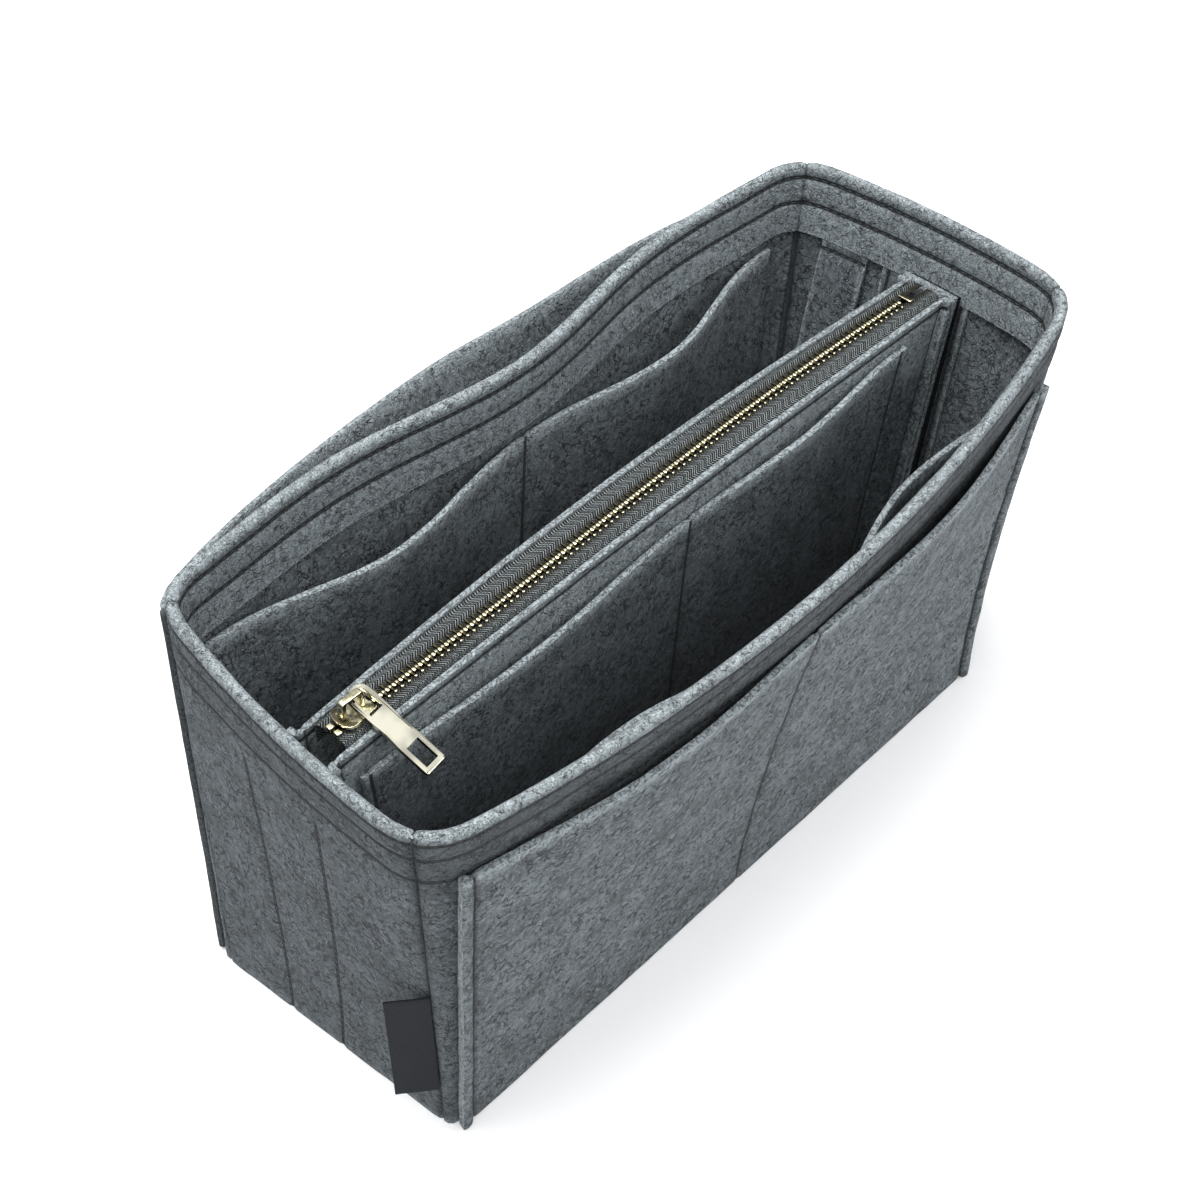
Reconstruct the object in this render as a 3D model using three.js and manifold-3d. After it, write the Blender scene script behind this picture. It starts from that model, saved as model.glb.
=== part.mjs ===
import * as THREE from 'three';
import Module from 'manifold-3d';
import { mergeVertices } from 'three/addons/utils/BufferGeometryUtils.js';

// Felt organizer insert for a handbag, with a lift-out zip pouch.
// Millimetres, +Z up. The origin is the middle of the base, on the surface it stands on.
// +X is the long way, -Y is the front with the low outer pocket, -X is the end with the label.

// Base and walls
const baseLength = 300;
const baseWidth = 115;
const wallHeight = 180;
const felt = 2.5;
const seamGap = 0.3;
const pocketGap = 0.6;
const hemHeight = 28;
const baseCorner = 6;
const rimCorner = 20;
const frontRimDrop = 3;
const seamShift = 4.5;

// How far the soft rim stands outside the base at its four corners
const frontLeftFlareX = 21;
const frontLeftFlareY = 17.5;
const frontRightFlareX = 26;
const frontRightFlareY = 7.5;
const backRightFlareX = 25;
const backRightFlareY = 10.5;
const backLeftFlareX = 3;
const backLeftFlareY = 8.5;

// How far the foot stands out at the back left corner
const backLeftFoot = 4;

// How far the rim bows between its corners
const frontBow = 22;
const rightBow = 5.5;
const leftBow = 5;
const backLobe = 5;
const backPinch = 7;

// Pockets sewn to the walls
const frontPocketHeight = 158;
const frontPocketGape = 10;
const frontPocketLeftBase = 3;
const frontPocketLeftTop = 11;
const frontPocketRightBase = 6;
const frontPocketRightTop = 26;
const pocketRidge = 4.5;
const pocketRidgeRise = 1.6;
const backPocketHeight = 168;
const backPocketGape = 15;
const backPocketRightMargin = 16;
const backPocketLeftMargin = 1.5;
const innerPocketMargin = 15;
const frontInnerDrop = 0.6;
const backInnerDrop = 4.5;
const frontInnerGape = 13;
const backInnerGape = 17;

// Felt strips and hook-and-loop tapes on the end walls
const endStripBack = 18;
const endStripFront = 22;
const strapNear = 25;
const strapWidth = 21;
const strapStandOff = 3.4;
const gripWidth = 23;
const gripThickness = 1.6;
const gripBottom = 62;
const gripTop = 156;

// Zip pouch
const pouchFloor = 14;
const pouchTop = 158.4;
const pouchCentreY = -7;
const pouchBow = 4.5;
const pouchBulge = 2.5;
const pouchTopHalf = 9.8;
const pouchFloorHalf = 7.5;
const pouchLip = 2.4;
const slipPocketHeight = 146;
const slipPocketGape = 10;
const slipPocketLeft = 10;
const slipPocketRight = 29;

// Zip: woven tapes, interlocking metal teeth, stops
const zipRise = 0.8;
const zipHeight = pouchTop + zipRise;
const zipBow = 3;
const zipSkew = 1.2;
const tapeThickness = 0.6;
const tapeEdge = 1.25;
const tapeFall = 1.6;
const tapeTurn = 7;
const tapeEndGap = 9;
const bottomStopInset = 11;
const toothPitch = 2.96;
const toothThickness = 1.15;
const toothOuter = 3;
const toothReach = 0.9;
const toothHeight = 2.6;
const toothTipHeight = 1.9;
const stopLength = 2.2;
const stopWidth = 2.9;
const stopHeight = 2.8;

// Slider and pull
const sliderLength = 13;
const sliderNoseWidth = 10.2;
const sliderTailWidth = 8.4;
const sliderPlate = 1.2;
const sliderChannel = 3.2;
const sliderLip = 0.9;
const sliderStopGap = 0.5;
const diamondLength = 3.4;
const diamondWidth = 1.4;
const bridgeWidth = 2.6;
const bridgeHole = 6;
const bridgeHoleLength = 6.4;
const bridgeFrontPost = 2;
const bridgeRearPost = 1.2;
const bridgeTop = 1;
const pullLength = 35.7;
const pullWidth = 9.2;
const pullThickness = 1.4;
const pullBar = 1.7;
const pullTopBar = 1.3;
const pullAbovePivot = 3.4;
const pullPivotRise = 3.3;
const upperWindow = 9.3;
const lowerWindow = 8.6;
const pullEndBar = 1.8;
const pullEndCorner = 0.8;
const pullWaist = 0.5;
const pullSlopeDegrees = 27;
const pullYawDegrees = 8.5;

// Side label, folded and sewn into the near corner seam
const labelHeight = 62;
const labelWidth = 15;
const labelThickness = 0.9;
const labelBottom = 23.5;
const labelTurnDegrees = 141;

// Shares and counts
const leanShare = 1.3;
const tangentShare = 0.001;
const searchStartShare = 0.1;
const longCornerShares = [0, 0.014, 0.03, 0.042, 0.058, 0.085];
const endCornerShares = [0, 0.02, 0.055, 0.12];
const backPocketEndShares = [0.96, 0.975, 0.985, 0.993];
const baseLongShares = [0, 0.01, 0.02];
const baseEndShares = [0, 0.025, 0.05];
const longStationCount = 10;
const endStationCount = 6;
const pocketStationCount = 16;
const panelStationCount = 10;
const endSheetCount = 3;
const levelCount = 4;
const roundCount = 5;
const searchCount = 40;

const thickHem = 2 * felt;
const hemBottom = wallHeight - hemHeight;

const cornerFlares = [
  { signX: -1, signY: -1, footX: 0, flareX: frontLeftFlareX, flareY: frontLeftFlareY },
  { signX: 1, signY: -1, footX: 0, flareX: frontRightFlareX, flareY: frontRightFlareY },
  { signX: 1, signY: 1, footX: 0, flareX: backRightFlareX, flareY: backRightFlareY },
  { signX: -1, signY: 1, footX: backLeftFoot, flareX: backLeftFlareX, flareY: backLeftFlareY },
];
const frontSide = 0;
const rightSide = 1;
const backSide = 2;
const leftSide = 3;

// Materials, one short function each.

function feltMaterial() {
  return new THREE.MeshStandardMaterial({ color: 0x6f777a, roughness: 0.95, metalness: 0 });
}

function tapeMaterial() {
  return new THREE.MeshStandardMaterial({ color: 0x565d61, roughness: 0.85, metalness: 0 });
}

function gripMaterial() {
  return new THREE.MeshStandardMaterial({ color: 0x15171a, roughness: 0.9, metalness: 0 });
}

function labelMaterial() {
  return new THREE.MeshStandardMaterial({ color: 0x111315, roughness: 0.7, metalness: 0 });
}

function brassMaterial() {
  return new THREE.MeshStandardMaterial({ color: 0x8f7a45, roughness: 0.35, metalness: 1 });
}

function pullMaterial() {
  return new THREE.MeshStandardMaterial({ color: 0xd8cfa8, roughness: 0.25, metalness: 1 });
}

// Outline of the walls.

function leanAt(height) {
  return (Math.max(height, 0) / wallHeight) ** leanShare;
}

function cornerAt(index, height) {
  const { signX, signY, footX, flareX, flareY } = cornerFlares[(index + 4) % 4];
  const lean = leanAt(height);
  const x = signX * (baseLength / 2 + footX + (flareX - footX) * lean);
  const y = signY * (baseWidth / 2 + flareY * lean);
  return new THREE.Vector2(x, y);
}

function hump(share) {
  return 4 * share * (1 - share);
}

function twoBays(share) {
  return Math.sin(2 * Math.PI * share) ** 2;
}

// The back rim swells either side of its middle, where the inner pocket's seam draws it in.
function backBow(share) {
  return backLobe * twoBays(share) - backPinch * Math.sin(Math.PI * share) ** 6;
}

function bowAt(side, share, height) {
  const lean = leanAt(height);
  if (side === frontSide) return frontBow * hump(share) * lean;
  if (side === rightSide) return rightBow * hump(share) * lean;
  if (side === leftSide) return leftBow * hump(share) * lean;
  return backBow(share) * lean;
}

function sideLength(side, height) {
  return cornerAt(side, height).distanceTo(cornerAt(side + 1, height));
}

function sidePoint(side, share, height) {
  const start = cornerAt(side, height);
  const along = cornerAt(side + 1, height).sub(start);
  const outward = new THREE.Vector2(along.y, -along.x).normalize();
  return start.addScaledVector(along, share).addScaledVector(outward, bowAt(side, share, height));
}

function bezier(from, control, to, share) {
  const rest = 1 - share;
  const point = from.clone().multiplyScalar(rest * rest);
  return point.addScaledVector(control, 2 * rest * share).addScaledVector(to, share * share);
}

// One full turn round the outline is 4: side 0 is the front, 1 the right end, 2 the back, 3 the left.
function outlinePoint(turn, height) {
  const whole = Math.floor(turn);
  const side = ((whole % 4) + 4) % 4;
  const share = turn - whole;
  const radius = baseCorner + (rimCorner - baseCorner) * leanAt(height);
  const roundShare = radius / sideLength(side, height);
  if (share < roundShare) {
    const before = (side + 3) % 4;
    const from = sidePoint(before, 1 - radius / sideLength(before, height), height);
    const to = sidePoint(side, roundShare, height);
    return bezier(from, cornerAt(side, height), to, (1 + share / roundShare) / 2);
  }
  if (share > 1 - roundShare) {
    const after = (side + 1) % 4;
    const from = sidePoint(side, 1 - roundShare, height);
    const to = sidePoint(after, radius / sideLength(after, height), height);
    return bezier(from, cornerAt(after, height), to, (share - 1 + roundShare) / roundShare / 2);
  }
  return sidePoint(side, share, height);
}

function rimDropAt(turn) {
  return turn > 0 && turn < 1 ? frontRimDrop * hump(turn) : 0;
}

// A point at a depth inside the outer face of the walls; a negative depth lies outside it.
function wallPoint(turn, height, depth) {
  const point = outlinePoint(turn, height);
  const ahead = outlinePoint(turn + tangentShare, height);
  const tangent = ahead.sub(outlinePoint(turn - tangentShare, height)).normalize();
  const x = point.x - tangent.y * depth;
  const y = point.y + tangent.x * depth;
  return new THREE.Vector3(x, y, height * (1 - rimDropAt(turn) / wallHeight));
}

// The point of an end wall, at a depth inside its outer face, that lies at a given y.
function endPoint(side, y, height, depth) {
  let low = side + searchStartShare;
  let high = side + 1 - searchStartShare;
  for (let step = 0; step < searchCount; step += 1) {
    const middle = (low + high) / 2;
    const above = wallPoint(middle, height, depth).y > y;
    if (above === (side === rightSide)) high = middle;
    else low = middle;
  }
  return wallPoint((low + high) / 2, height, depth);
}

// Closed bodies from rings of points.

function signedArea(ring) {
  return THREE.ShapeUtils.area(ring);
}

function signedVolume(positions, index) {
  let volume = 0;
  const a = new THREE.Vector3();
  const b = new THREE.Vector3();
  const c = new THREE.Vector3();
  for (let i = 0; i < index.length; i += 3) {
    a.fromArray(positions, 3 * index[i]);
    b.fromArray(positions, 3 * index[i + 1]);
    c.fromArray(positions, 3 * index[i + 2]);
    volume += a.dot(b.cross(c));
  }
  return volume;
}

function closedGeometry(positions, index) {
  if (signedVolume(positions, index) < 0) index.reverse();
  const geometry = new THREE.BufferGeometry();
  geometry.setAttribute('position', new THREE.Float32BufferAttribute(positions, 3));
  geometry.setIndex(index);
  return geometry;
}

// Triangles of a flat outline, turned the way the outline runs.
function outlineFaces(flatRing) {
  const turned = signedArea(flatRing) < 0;
  return THREE.ShapeUtils.triangulateShape(flatRing, []).map((face) =>
    (signedArea(face.map((i) => flatRing[i])) < 0 === turned ? face : [...face].reverse()));
}

// Triangles of a sheet's edge, whose near points run up and whose far points run down again.
function edgeFaces(size) {
  const faces = [];
  for (let i = 0; i + 1 < size / 2; i += 1) {
    faces.push([i, i + 1, size - 2 - i], [i, size - 2 - i, size - 1 - i]);
  }
  return faces;
}

// Joins rings of equally many points into one skin and closes both ends.
function loft(rings, faces) {
  const size = rings[0].length;
  const positions = rings.flatMap((ring) => ring.flatMap((point) => point.toArray()));
  const index = [];
  for (let row = 0; row + 1 < rings.length; row += 1) {
    for (let i = 0; i < size; i += 1) {
      const a = row * size + i;
      const b = row * size + ((i + 1) % size);
      index.push(a, b, b + size, a, b + size, a + size);
    }
  }
  const last = (rings.length - 1) * size;
  faces.forEach(([a, b, c]) => index.push(c, b, a, a + last, b + last, c + last));
  return closedGeometry(positions, index);
}

function steps(from, to, count) {
  return Array.from({ length: count + 1 }, (_, i) => from + ((to - from) * i) / count);
}

// Shares along a side, closer together where its corners are round.
function sideShares(near, count) {
  const last = near[near.length - 1];
  const between = steps(last, 1 - last, count).slice(1, -1);
  return [...near, ...between, ...near.map((share) => 1 - share).reverse()];
}

// Ring of a sheet in depth and height: up its near face and down its far face.
function sheetProfile(heights, near, far) {
  const up = heights.map((height) => [near(height), height]);
  const down = [...heights].reverse().map((height) => [far(height), height]);
  return [...up, ...down];
}

// A sheet that follows the walls: one profile of depth and height at each station.
function wallSheet(stations, profileAt, turnAt) {
  const rings = stations.map((station) =>
    profileAt(station).map(([depth, height]) => wallPoint(turnAt(station, height), height, depth)));
  return loft(rings, edgeFaces(rings[0].length));
}

// A narrow sheet on the inner side of an end wall, between two y positions.
function endSheet(side, yFrom, yTo, heights, depthAt, thickness) {
  const rings = heights.map((height) => {
    const depth = depthAt(height);
    const across = steps(yFrom, yTo, endSheetCount);
    const near = across.map((y) => endPoint(side, y, height, depth));
    const far = across.map((y) => endPoint(side, y, height, depth + thickness));
    return [...near, ...far.reverse()];
  });
  return loft(rings, edgeFaces(rings[0].length));
}

function planFaces(ring) {
  return outlineFaces(ring.map((point) => new THREE.Vector2(point.x, point.y)));
}

function makePart(name, geometry, material) {
  const mesh = new THREE.Mesh(geometry, material);
  mesh.name = name;
  mesh.geometry.computeVertexNormals();
  return mesh;
}

// Organizer: base, walls, pockets, strips, label.

function basePanel() {
  const sides = [frontSide, rightSide, backSide, leftSide];
  const turns = sides.flatMap((side) => {
    const near = side % 2 ? baseEndShares : baseLongShares;
    return sideShares(near, 1).slice(0, -1).map((share) => side + share);
  });
  const rings = [0, felt].map((height) => turns.map((turn) => wallPoint(turn, height, felt + seamGap)));
  return makePart('base_panel', loft(rings, planFaces(rings[0])), feltMaterial());
}

// The felt of a wall is turned in over the rim, so its top is twice as thick and rounded.
function wallProfile() {
  const round = steps(0, Math.PI, roundCount - 1);
  const heights = [...steps(0, hemBottom, levelCount), ...steps(hemBottom, wallHeight - felt, 2).slice(1)];
  const outer = heights.map((height) => [0, height]);
  const rim = round.slice(1, -1).map((angle) =>
    [felt * (1 - Math.cos(angle)), wallHeight - felt * (1 - Math.sin(angle))]);
  const hem = steps(wallHeight - felt, hemBottom, 2).map((height) => [thickHem, height]);
  const inner = steps(hemBottom, 0, levelCount).map((height) => [felt, height]);
  return [...outer, ...rim, ...hem, ...inner];
}

// The long walls reach a little way round the corners, to the corner seams.
function seamTurn(corner, height) {
  const onRightEnd = corner === 1 || corner === 2;
  const endSide = onRightEnd ? rightSide : leftSide;
  const shift = seamShift / sideLength(endSide, height);
  return corner === 1 || corner === 3 ? corner + shift : corner - shift;
}

function wall(name, side, near, count) {
  const half = (height) => seamGap / 2 / sideLength(side % 2 ? side : side + 1, height);
  const turnAt = (share, height) => {
    const from = seamTurn(side, height) + half(height);
    const to = (side === leftSide ? 4 + seamTurn(0, height) : seamTurn(side + 1, height)) - half(height);
    return from + (to - from) * share;
  };
  return makePart(name, wallSheet(sideShares(near, count), wallProfile, turnAt), feltMaterial());
}

// Turn of a share of a side that leaves a margin free at its start and at its end.
function turnBetween(side, startMargin, endMargin, share, height) {
  const length = sideLength(side, height);
  return side + (startMargin + (length - startMargin - endMargin) * share) / length;
}

// Outer pocket of the front: seamed to the wall at its middle, with thicker folded ends.
function frontOuterPocket() {
  const heights = steps(felt / 2, frontPocketHeight, levelCount);
  const ridgeShare = pocketRidge / baseLength;
  const stations = [0, ridgeShare, 2 * ridgeShare];
  stations.push(...steps(0, 1, pocketStationCount).slice(1, -1), 1 - 2 * ridgeShare, 1 - ridgeShare, 1);
  const profileAt = (share) => {
    const atEnd = share <= ridgeShare || share >= 1 - ridgeShare;
    const near = (height) =>
      -pocketGap - frontPocketGape * twoBays(share) * (height / frontPocketHeight) ** 2;
    const skin = felt + (atEnd ? pocketRidgeRise : 0);
    return sheetProfile(heights, near, (height) => near(height) - skin);
  };
  const turnAt = (share, height) => {
    const lift = height / frontPocketHeight;
    const left = frontPocketLeftBase + (frontPocketLeftTop - frontPocketLeftBase) * lift;
    const right = frontPocketRightBase + (frontPocketRightTop - frontPocketRightBase) * lift;
    return turnBetween(frontSide, left, right, share, height);
  };
  return makePart('front_outer_pocket', wallSheet(stations, profileAt, turnAt), feltMaterial());
}


// Outer pocket of the back: one bay whose mouth stands well off the drawn-in wall.
function backOuterPocket() {
  const heights = steps(felt / 2, backPocketHeight, levelCount);
  const profileAt = (share) => {
    const span = 1 - Math.abs(2 * share - 1) ** 3;
    const gape = backPocketGape * span + backLobe * span - backBow(share);
    const near = (height) => -pocketGap - gape * (height / backPocketHeight) ** 2;
    return sheetProfile(heights, near, (height) => near(height) - felt);
  };
  const turnAt = (share, height) =>
    turnBetween(backSide, backPocketRightMargin, backPocketLeftMargin, share, height);
  const stations = [...steps(0, 1, pocketStationCount).slice(0, -1), ...backPocketEndShares, 1];
  return makePart('back_outer_pocket', wallSheet(stations, profileAt, turnAt), feltMaterial());
}

// Inner pockets: two bays each, seamed to the wall between them, tucked under the hem.
function innerPocket(name, side, gape, drop) {
  const top = hemBottom - drop;
  const heights = steps(felt + seamGap, top, levelCount);
  const profileAt = (share) => {
    const near = (height) => felt + pocketGap + gape * twoBays(share) * (height / top) ** 2;
    return sheetProfile(heights, near, (height) => near(height) + felt);
  };
  const turnAt = (share, height) =>
    turnBetween(side, innerPocketMargin, innerPocketMargin, share, height);
  const sheet = wallSheet(steps(0, 1, pocketStationCount), profileAt, turnAt);
  return makePart(name, sheet, feltMaterial());
}

function endStrip(name, side) {
  const heights = steps(felt + seamGap, hemBottom - seamGap, levelCount);
  const depth = felt + seamGap;
  const sheet = endSheet(side, endStripBack, -endStripFront, heights, () => depth, felt - seamGap);
  return makePart(name, sheet, feltMaterial());
}

// A loose strap beside the strip, sewn at its top and bottom and standing off the wall between.
function endStrap() {
  const from = felt + seamGap;
  const to = hemBottom - seamGap;
  const heights = steps(from, to, 2 * levelCount);
  const depthAt = (height) =>
    felt + seamGap + strapStandOff * Math.sin((Math.PI * (height - from)) / (to - from));
  const strapFar = strapNear + strapWidth;
  const sheet = endSheet(rightSide, strapNear, strapFar, heights, depthAt, felt - seamGap);
  return makePart('right_end_strap', sheet, feltMaterial());
}

function gripTape(name, side, layer) {
  const heights = steps(gripBottom, gripTop, levelCount);
  const depth = thickHem + seamGap + layer * (gripThickness + seamGap);
  const back = pouchCentreY + gripWidth / 2;
  const front = pouchCentreY - gripWidth / 2;
  return makePart(name, endSheet(side, back, front, heights, () => depth, gripThickness), gripMaterial());
}

// The label stands off the left end, from the corner seam.
function sideLabel() {
  const turn = THREE.MathUtils.degToRad(labelTurnDegrees);
  const along = new THREE.Vector3(Math.cos(turn), Math.sin(turn), 0);
  const across = new THREE.Vector3(-along.y, along.x, 0);
  const rings = [labelBottom, labelBottom + labelHeight].map((height) => {
    const root = wallPoint(4 + seamTurn(0, height), height, -seamGap);
    const tip = root.clone().addScaledVector(along, labelWidth);
    const faceOf = (point) => point.clone().addScaledVector(across, labelThickness);
    return [root, tip, faceOf(tip), faceOf(root)];
  });
  return makePart('side_label', loft(rings, planFaces(rings[0])), labelMaterial());
}

// Zip pouch.

const gussetDepth = thickHem + 2 * (gripThickness + seamGap) + seamGap;
const pouchEndDepth = gussetDepth + felt + 2 * seamGap;

function pouchEndX(side, y, height) {
  return endPoint(side, y, height, pouchEndDepth).x;
}

const pouchLeftTop = pouchEndX(leftSide, pouchCentreY, pouchTop);
const pouchRightTop = pouchEndX(rightSide, pouchCentreY, pouchTop);
const pouchMiddle = (pouchLeftTop + pouchRightTop) / 2;
const pouchSpan = pouchRightTop - pouchLeftTop;

// One at the middle of the pouch and zero at its ends.
function swell(x) {
  return Math.cos((Math.PI * (x - pouchMiddle)) / pouchSpan);
}

function pouchHalfAt(x, height) {
  const lift = (height - pouchFloor) / (pouchTop - pouchFloor);
  return pouchFloorHalf + (pouchTopHalf - pouchFloorHalf) * lift + pouchBulge * swell(x) * lift;
}

// A point of a long panel: sign +1 is the back panel, -1 the front, and across is outwards.
function pouchPoint(sign, share, height, across) {
  const endY = pouchCentreY + sign * pouchHalfAt(pouchLeftTop, height);
  const from = pouchEndX(leftSide, endY, height);
  const x = from + (pouchEndX(rightSide, endY, height) - from) * share;
  const y = pouchCentreY + pouchBow * swell(x) + sign * (pouchHalfAt(x, height) + across);
  return new THREE.Vector3(x, y, height);
}

// Triangles of the outline of a panel with a lip at each end and count points along each face.
function lippedFaces(count) {
  const end = count + 2;
  const last = 2 * count + 5;
  const faces = [[0, 1, 2], [0, 2, 3], [0, 3, last]];
  for (let i = 3; i < end; i += 1) faces.push([i, i + 1, last + 2 - i], [i, last + 2 - i, last + 3 - i]);
  faces.push([end + 1, end + 2, end + 3], [end, end + 1, end + 3], [end, end + 3, end + 4]);
  return faces;
}

// The ends of a long panel turn out beside the end panels, as raw seams do.
function pouchPanel(name, sign) {
  const lipShare = felt / pouchSpan;
  const shares = [lipShare, ...steps(0, 1, panelStationCount).slice(1, -1), 1 - lipShare];
  const outline = [
    [0, -felt], [0, pouchLip], [lipShare, pouchLip],
    ...shares.map((share) => [share, 0]),
    [1 - lipShare, pouchLip], [1, pouchLip], [1, -felt],
    ...[...shares].reverse().map((share) => [share, -felt]),
  ];
  const heights = steps(pouchFloor, pouchTop, levelCount);
  const rings = heights.map((height) =>
    outline.map(([share, across]) => pouchPoint(sign, share, height, across)));
  return makePart(name, loft(rings, lippedFaces(shares.length)), feltMaterial());
}

function pouchGusset(name, side) {
  const heights = steps(pouchFloor, pouchTop, levelCount);
  const rings = heights.map((height) => {
    const reach = pouchHalfAt(pouchLeftTop, height) + pouchLip;
    const across = steps(pouchCentreY + reach, pouchCentreY - reach, endSheetCount);
    const near = across.map((y) => endPoint(side, y, height, gussetDepth));
    const far = across.map((y) => endPoint(side, y, height, gussetDepth + felt));
    return [...near, ...far.reverse()];
  });
  return makePart(name, loft(rings, edgeFaces(rings[0].length)), feltMaterial());
}

function pouchBase() {
  const shares = steps(0, 1, panelStationCount);
  const rings = [pouchFloor, pouchFloor + felt].map((height) => {
    const front = shares.map((share) => pouchPoint(-1, share, height, -felt - seamGap));
    const back = shares.map((share) => pouchPoint(1, share, height, -felt - seamGap));
    return [...front, ...back.reverse()];
  });
  return makePart('pouch_floor', loft(rings, edgeFaces(rings[0].length)), feltMaterial());
}

// Slip pocket on the front of the pouch: two bays, seamed to the panel between them.
function slipPocket() {
  const heights = steps(pouchFloor, slipPocketHeight, levelCount);
  const from = slipPocketLeft / pouchSpan;
  const to = 1 - slipPocketRight / pouchSpan;
  const rings = steps(from, to, pocketStationCount).map((share) => {
    const bay = twoBays((share - from) / (to - from));
    const near = (height) =>
      seamGap + slipPocketGape * bay * ((height - pouchFloor) / (slipPocketHeight - pouchFloor)) ** 2;
    const profile = sheetProfile(heights, near, (height) => near(height) + felt);
    return profile.map(([across, height]) => pouchPoint(-1, share, height, across));
  });
  return makePart('pouch_slip_pocket', loft(rings, edgeFaces(rings[0].length)), feltMaterial());
}

// Solids that are joined.

const solids = await Module();
solids.setup();

function toSolid(geometry) {
  const bare = geometry.clone();
  bare.deleteAttribute('normal');
  bare.deleteAttribute('uv');
  const merged = mergeVertices(bare);
  const mesh = new solids.Mesh({
    numProp: 3,
    vertProperties: new Float32Array(merged.attributes.position.array),
    triVerts: new Uint32Array(merged.index.array),
  });
  return new solids.Manifold(mesh);
}

function joined(geometries) {
  const whole = geometries.map(toSolid).reduce((sum, piece) => sum.add(piece));
  const { vertProperties, triVerts } = whole.getMesh();
  const geometry = new THREE.BufferGeometry();
  geometry.setAttribute('position', new THREE.Float32BufferAttribute(Array.from(vertProperties), 3));
  geometry.setIndex(Array.from(triVerts));
  return geometry;
}

// Zip.

const tapeLeft = pouchLeftTop + tapeEndGap;
const tapeFold = zipHeight - tapeFall;
const tapeRight = pouchEndX(rightSide, pouchCentreY, tapeFold - tapeTurn) - 2 * seamGap;
const stopLeft = tapeLeft + seamGap;
const sliderRestX = stopLeft + stopLength + sliderStopGap + sliderLength / 2;
const teethLeft = sliderRestX + sliderLength / 2 + seamGap;
const bottomStopX = tapeRight - bottomStopInset;
const tapeFlat = sliderNoseWidth / 2 + seamGap;

// The chain bows to the back and wanders a little more that way in its right half.
function chainY(x) {
  const wander = Math.sin((2 * Math.PI * (x - pouchMiddle)) / pouchSpan);
  return pouchCentreY + zipBow * swell(x) + zipSkew * wander;
}

// One woven tape: from its edge at the chain out to the panel, then turned down beside it.
function tapeStrip(sign) {
  const top = tapeThickness / 2;
  const rings = steps(tapeLeft, tapeRight, panelStationCount).map((x) => {
    const inner = chainY(x) + sign * tapeEdge;
    const bend = chainY(x) + sign * tapeFlat;
    const middle = pouchCentreY + pouchBow * swell(x);
    const panelY = (height) => middle + sign * (pouchHalfAt(x, height) - felt - seamGap);
    const foot = tapeFold - tapeTurn;
    const outline = [
      [inner, zipHeight + top],
      [bend, zipHeight + top],
      [panelY(tapeFold), tapeFold + top],
      [panelY(foot), foot],
      [panelY(foot) - sign * tapeThickness, foot],
      [panelY(tapeFold) - sign * tapeThickness, tapeFold - top],
      [bend - sign * tapeThickness / 2, zipHeight - top],
      [inner, zipHeight - top],
    ];
    return outline.map(([y, z]) => new THREE.Vector3(x, y, z));
  });
  return loft(rings, edgeFaces(rings[0].length));
}

// A piece of metal on the zip: its outline across the zip, drawn along it.
function clip(x, length, sign, outline) {
  const centre = chainY(x);
  const rings = [x - length / 2, x + length / 2].map((at) =>
    outline.map(([across, height]) => new THREE.Vector3(at, centre + sign * across, zipHeight + height)));
  return loft(rings, outlineFaces(outline.map(([across, height]) => new THREE.Vector2(across, height))));
}

// Across the zip a tooth grips the tape edge and ends in a head that passes the middle.
function toothOutline() {
  return [
    [toothOuter, toothHeight / 2],
    [tapeEdge / 2, toothHeight / 2],
    [-toothReach, toothTipHeight / 2],
    [-toothReach, -toothTipHeight / 2],
    [tapeEdge / 2, -toothHeight / 2],
    [toothOuter, -toothHeight / 2],
  ];
}

// The teeth of one side lie half a pitch along from those of the other, between their heads.
function toothedTape(name, sign) {
  const from = teethLeft + toothThickness / 2 + (sign > 0 ? toothPitch / 2 : 0);
  const to = bottomStopX - stopLength / 2 - seamGap - toothThickness;
  const pieces = [tapeStrip(sign)];
  for (let x = from; x < to; x += toothPitch) pieces.push(clip(x, toothThickness, sign, toothOutline()));
  return makePart(name, joined(pieces), tapeMaterial());
}

// A stop is a clip of bent metal astride the edge of the tape.
function topStop(name, sign) {
  const slot = tapeThickness / 2 + seamGap;
  const inner = tapeEdge - 2 * seamGap;
  const outline = [
    [stopWidth, stopHeight / 2],
    [inner, stopHeight / 2],
    [inner, -stopHeight / 2],
    [stopWidth, -stopHeight / 2],
    [stopWidth, -slot],
    [tapeEdge - seamGap, -slot],
    [tapeEdge - seamGap, slot],
    [stopWidth, slot],
  ];
  return makePart(name, clip(stopLeft + stopLength / 2, stopLength, sign, outline), brassMaterial());
}

// The bottom stop is one piece that holds the edges of both tapes together.
function bottomStop() {
  const slot = tapeThickness / 2 + seamGap;
  const right = [
    [0, -stopHeight / 2],
    [stopWidth, -stopHeight / 2],
    [stopWidth, -slot],
    [tapeEdge - seamGap, -slot],
    [tapeEdge - seamGap, slot],
    [stopWidth, slot],
    [stopWidth, stopHeight / 2],
    [0, stopHeight / 2],
  ];
  const left = right.slice(1, -1).map(([across, height]) => [-across, height]).reverse();
  const geometry = clip(bottomStopX, stopLength, 1, [...right, ...left]);
  return makePart('zip_bottom_stop', geometry, brassMaterial());
}

// Slider and pull.

function slab(shape, from, thickness) {
  const options = { depth: thickness, bevelEnabled: false, curveSegments: roundCount };
  return new THREE.ExtrudeGeometry(shape, options).translate(0, 0, from);
}

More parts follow.
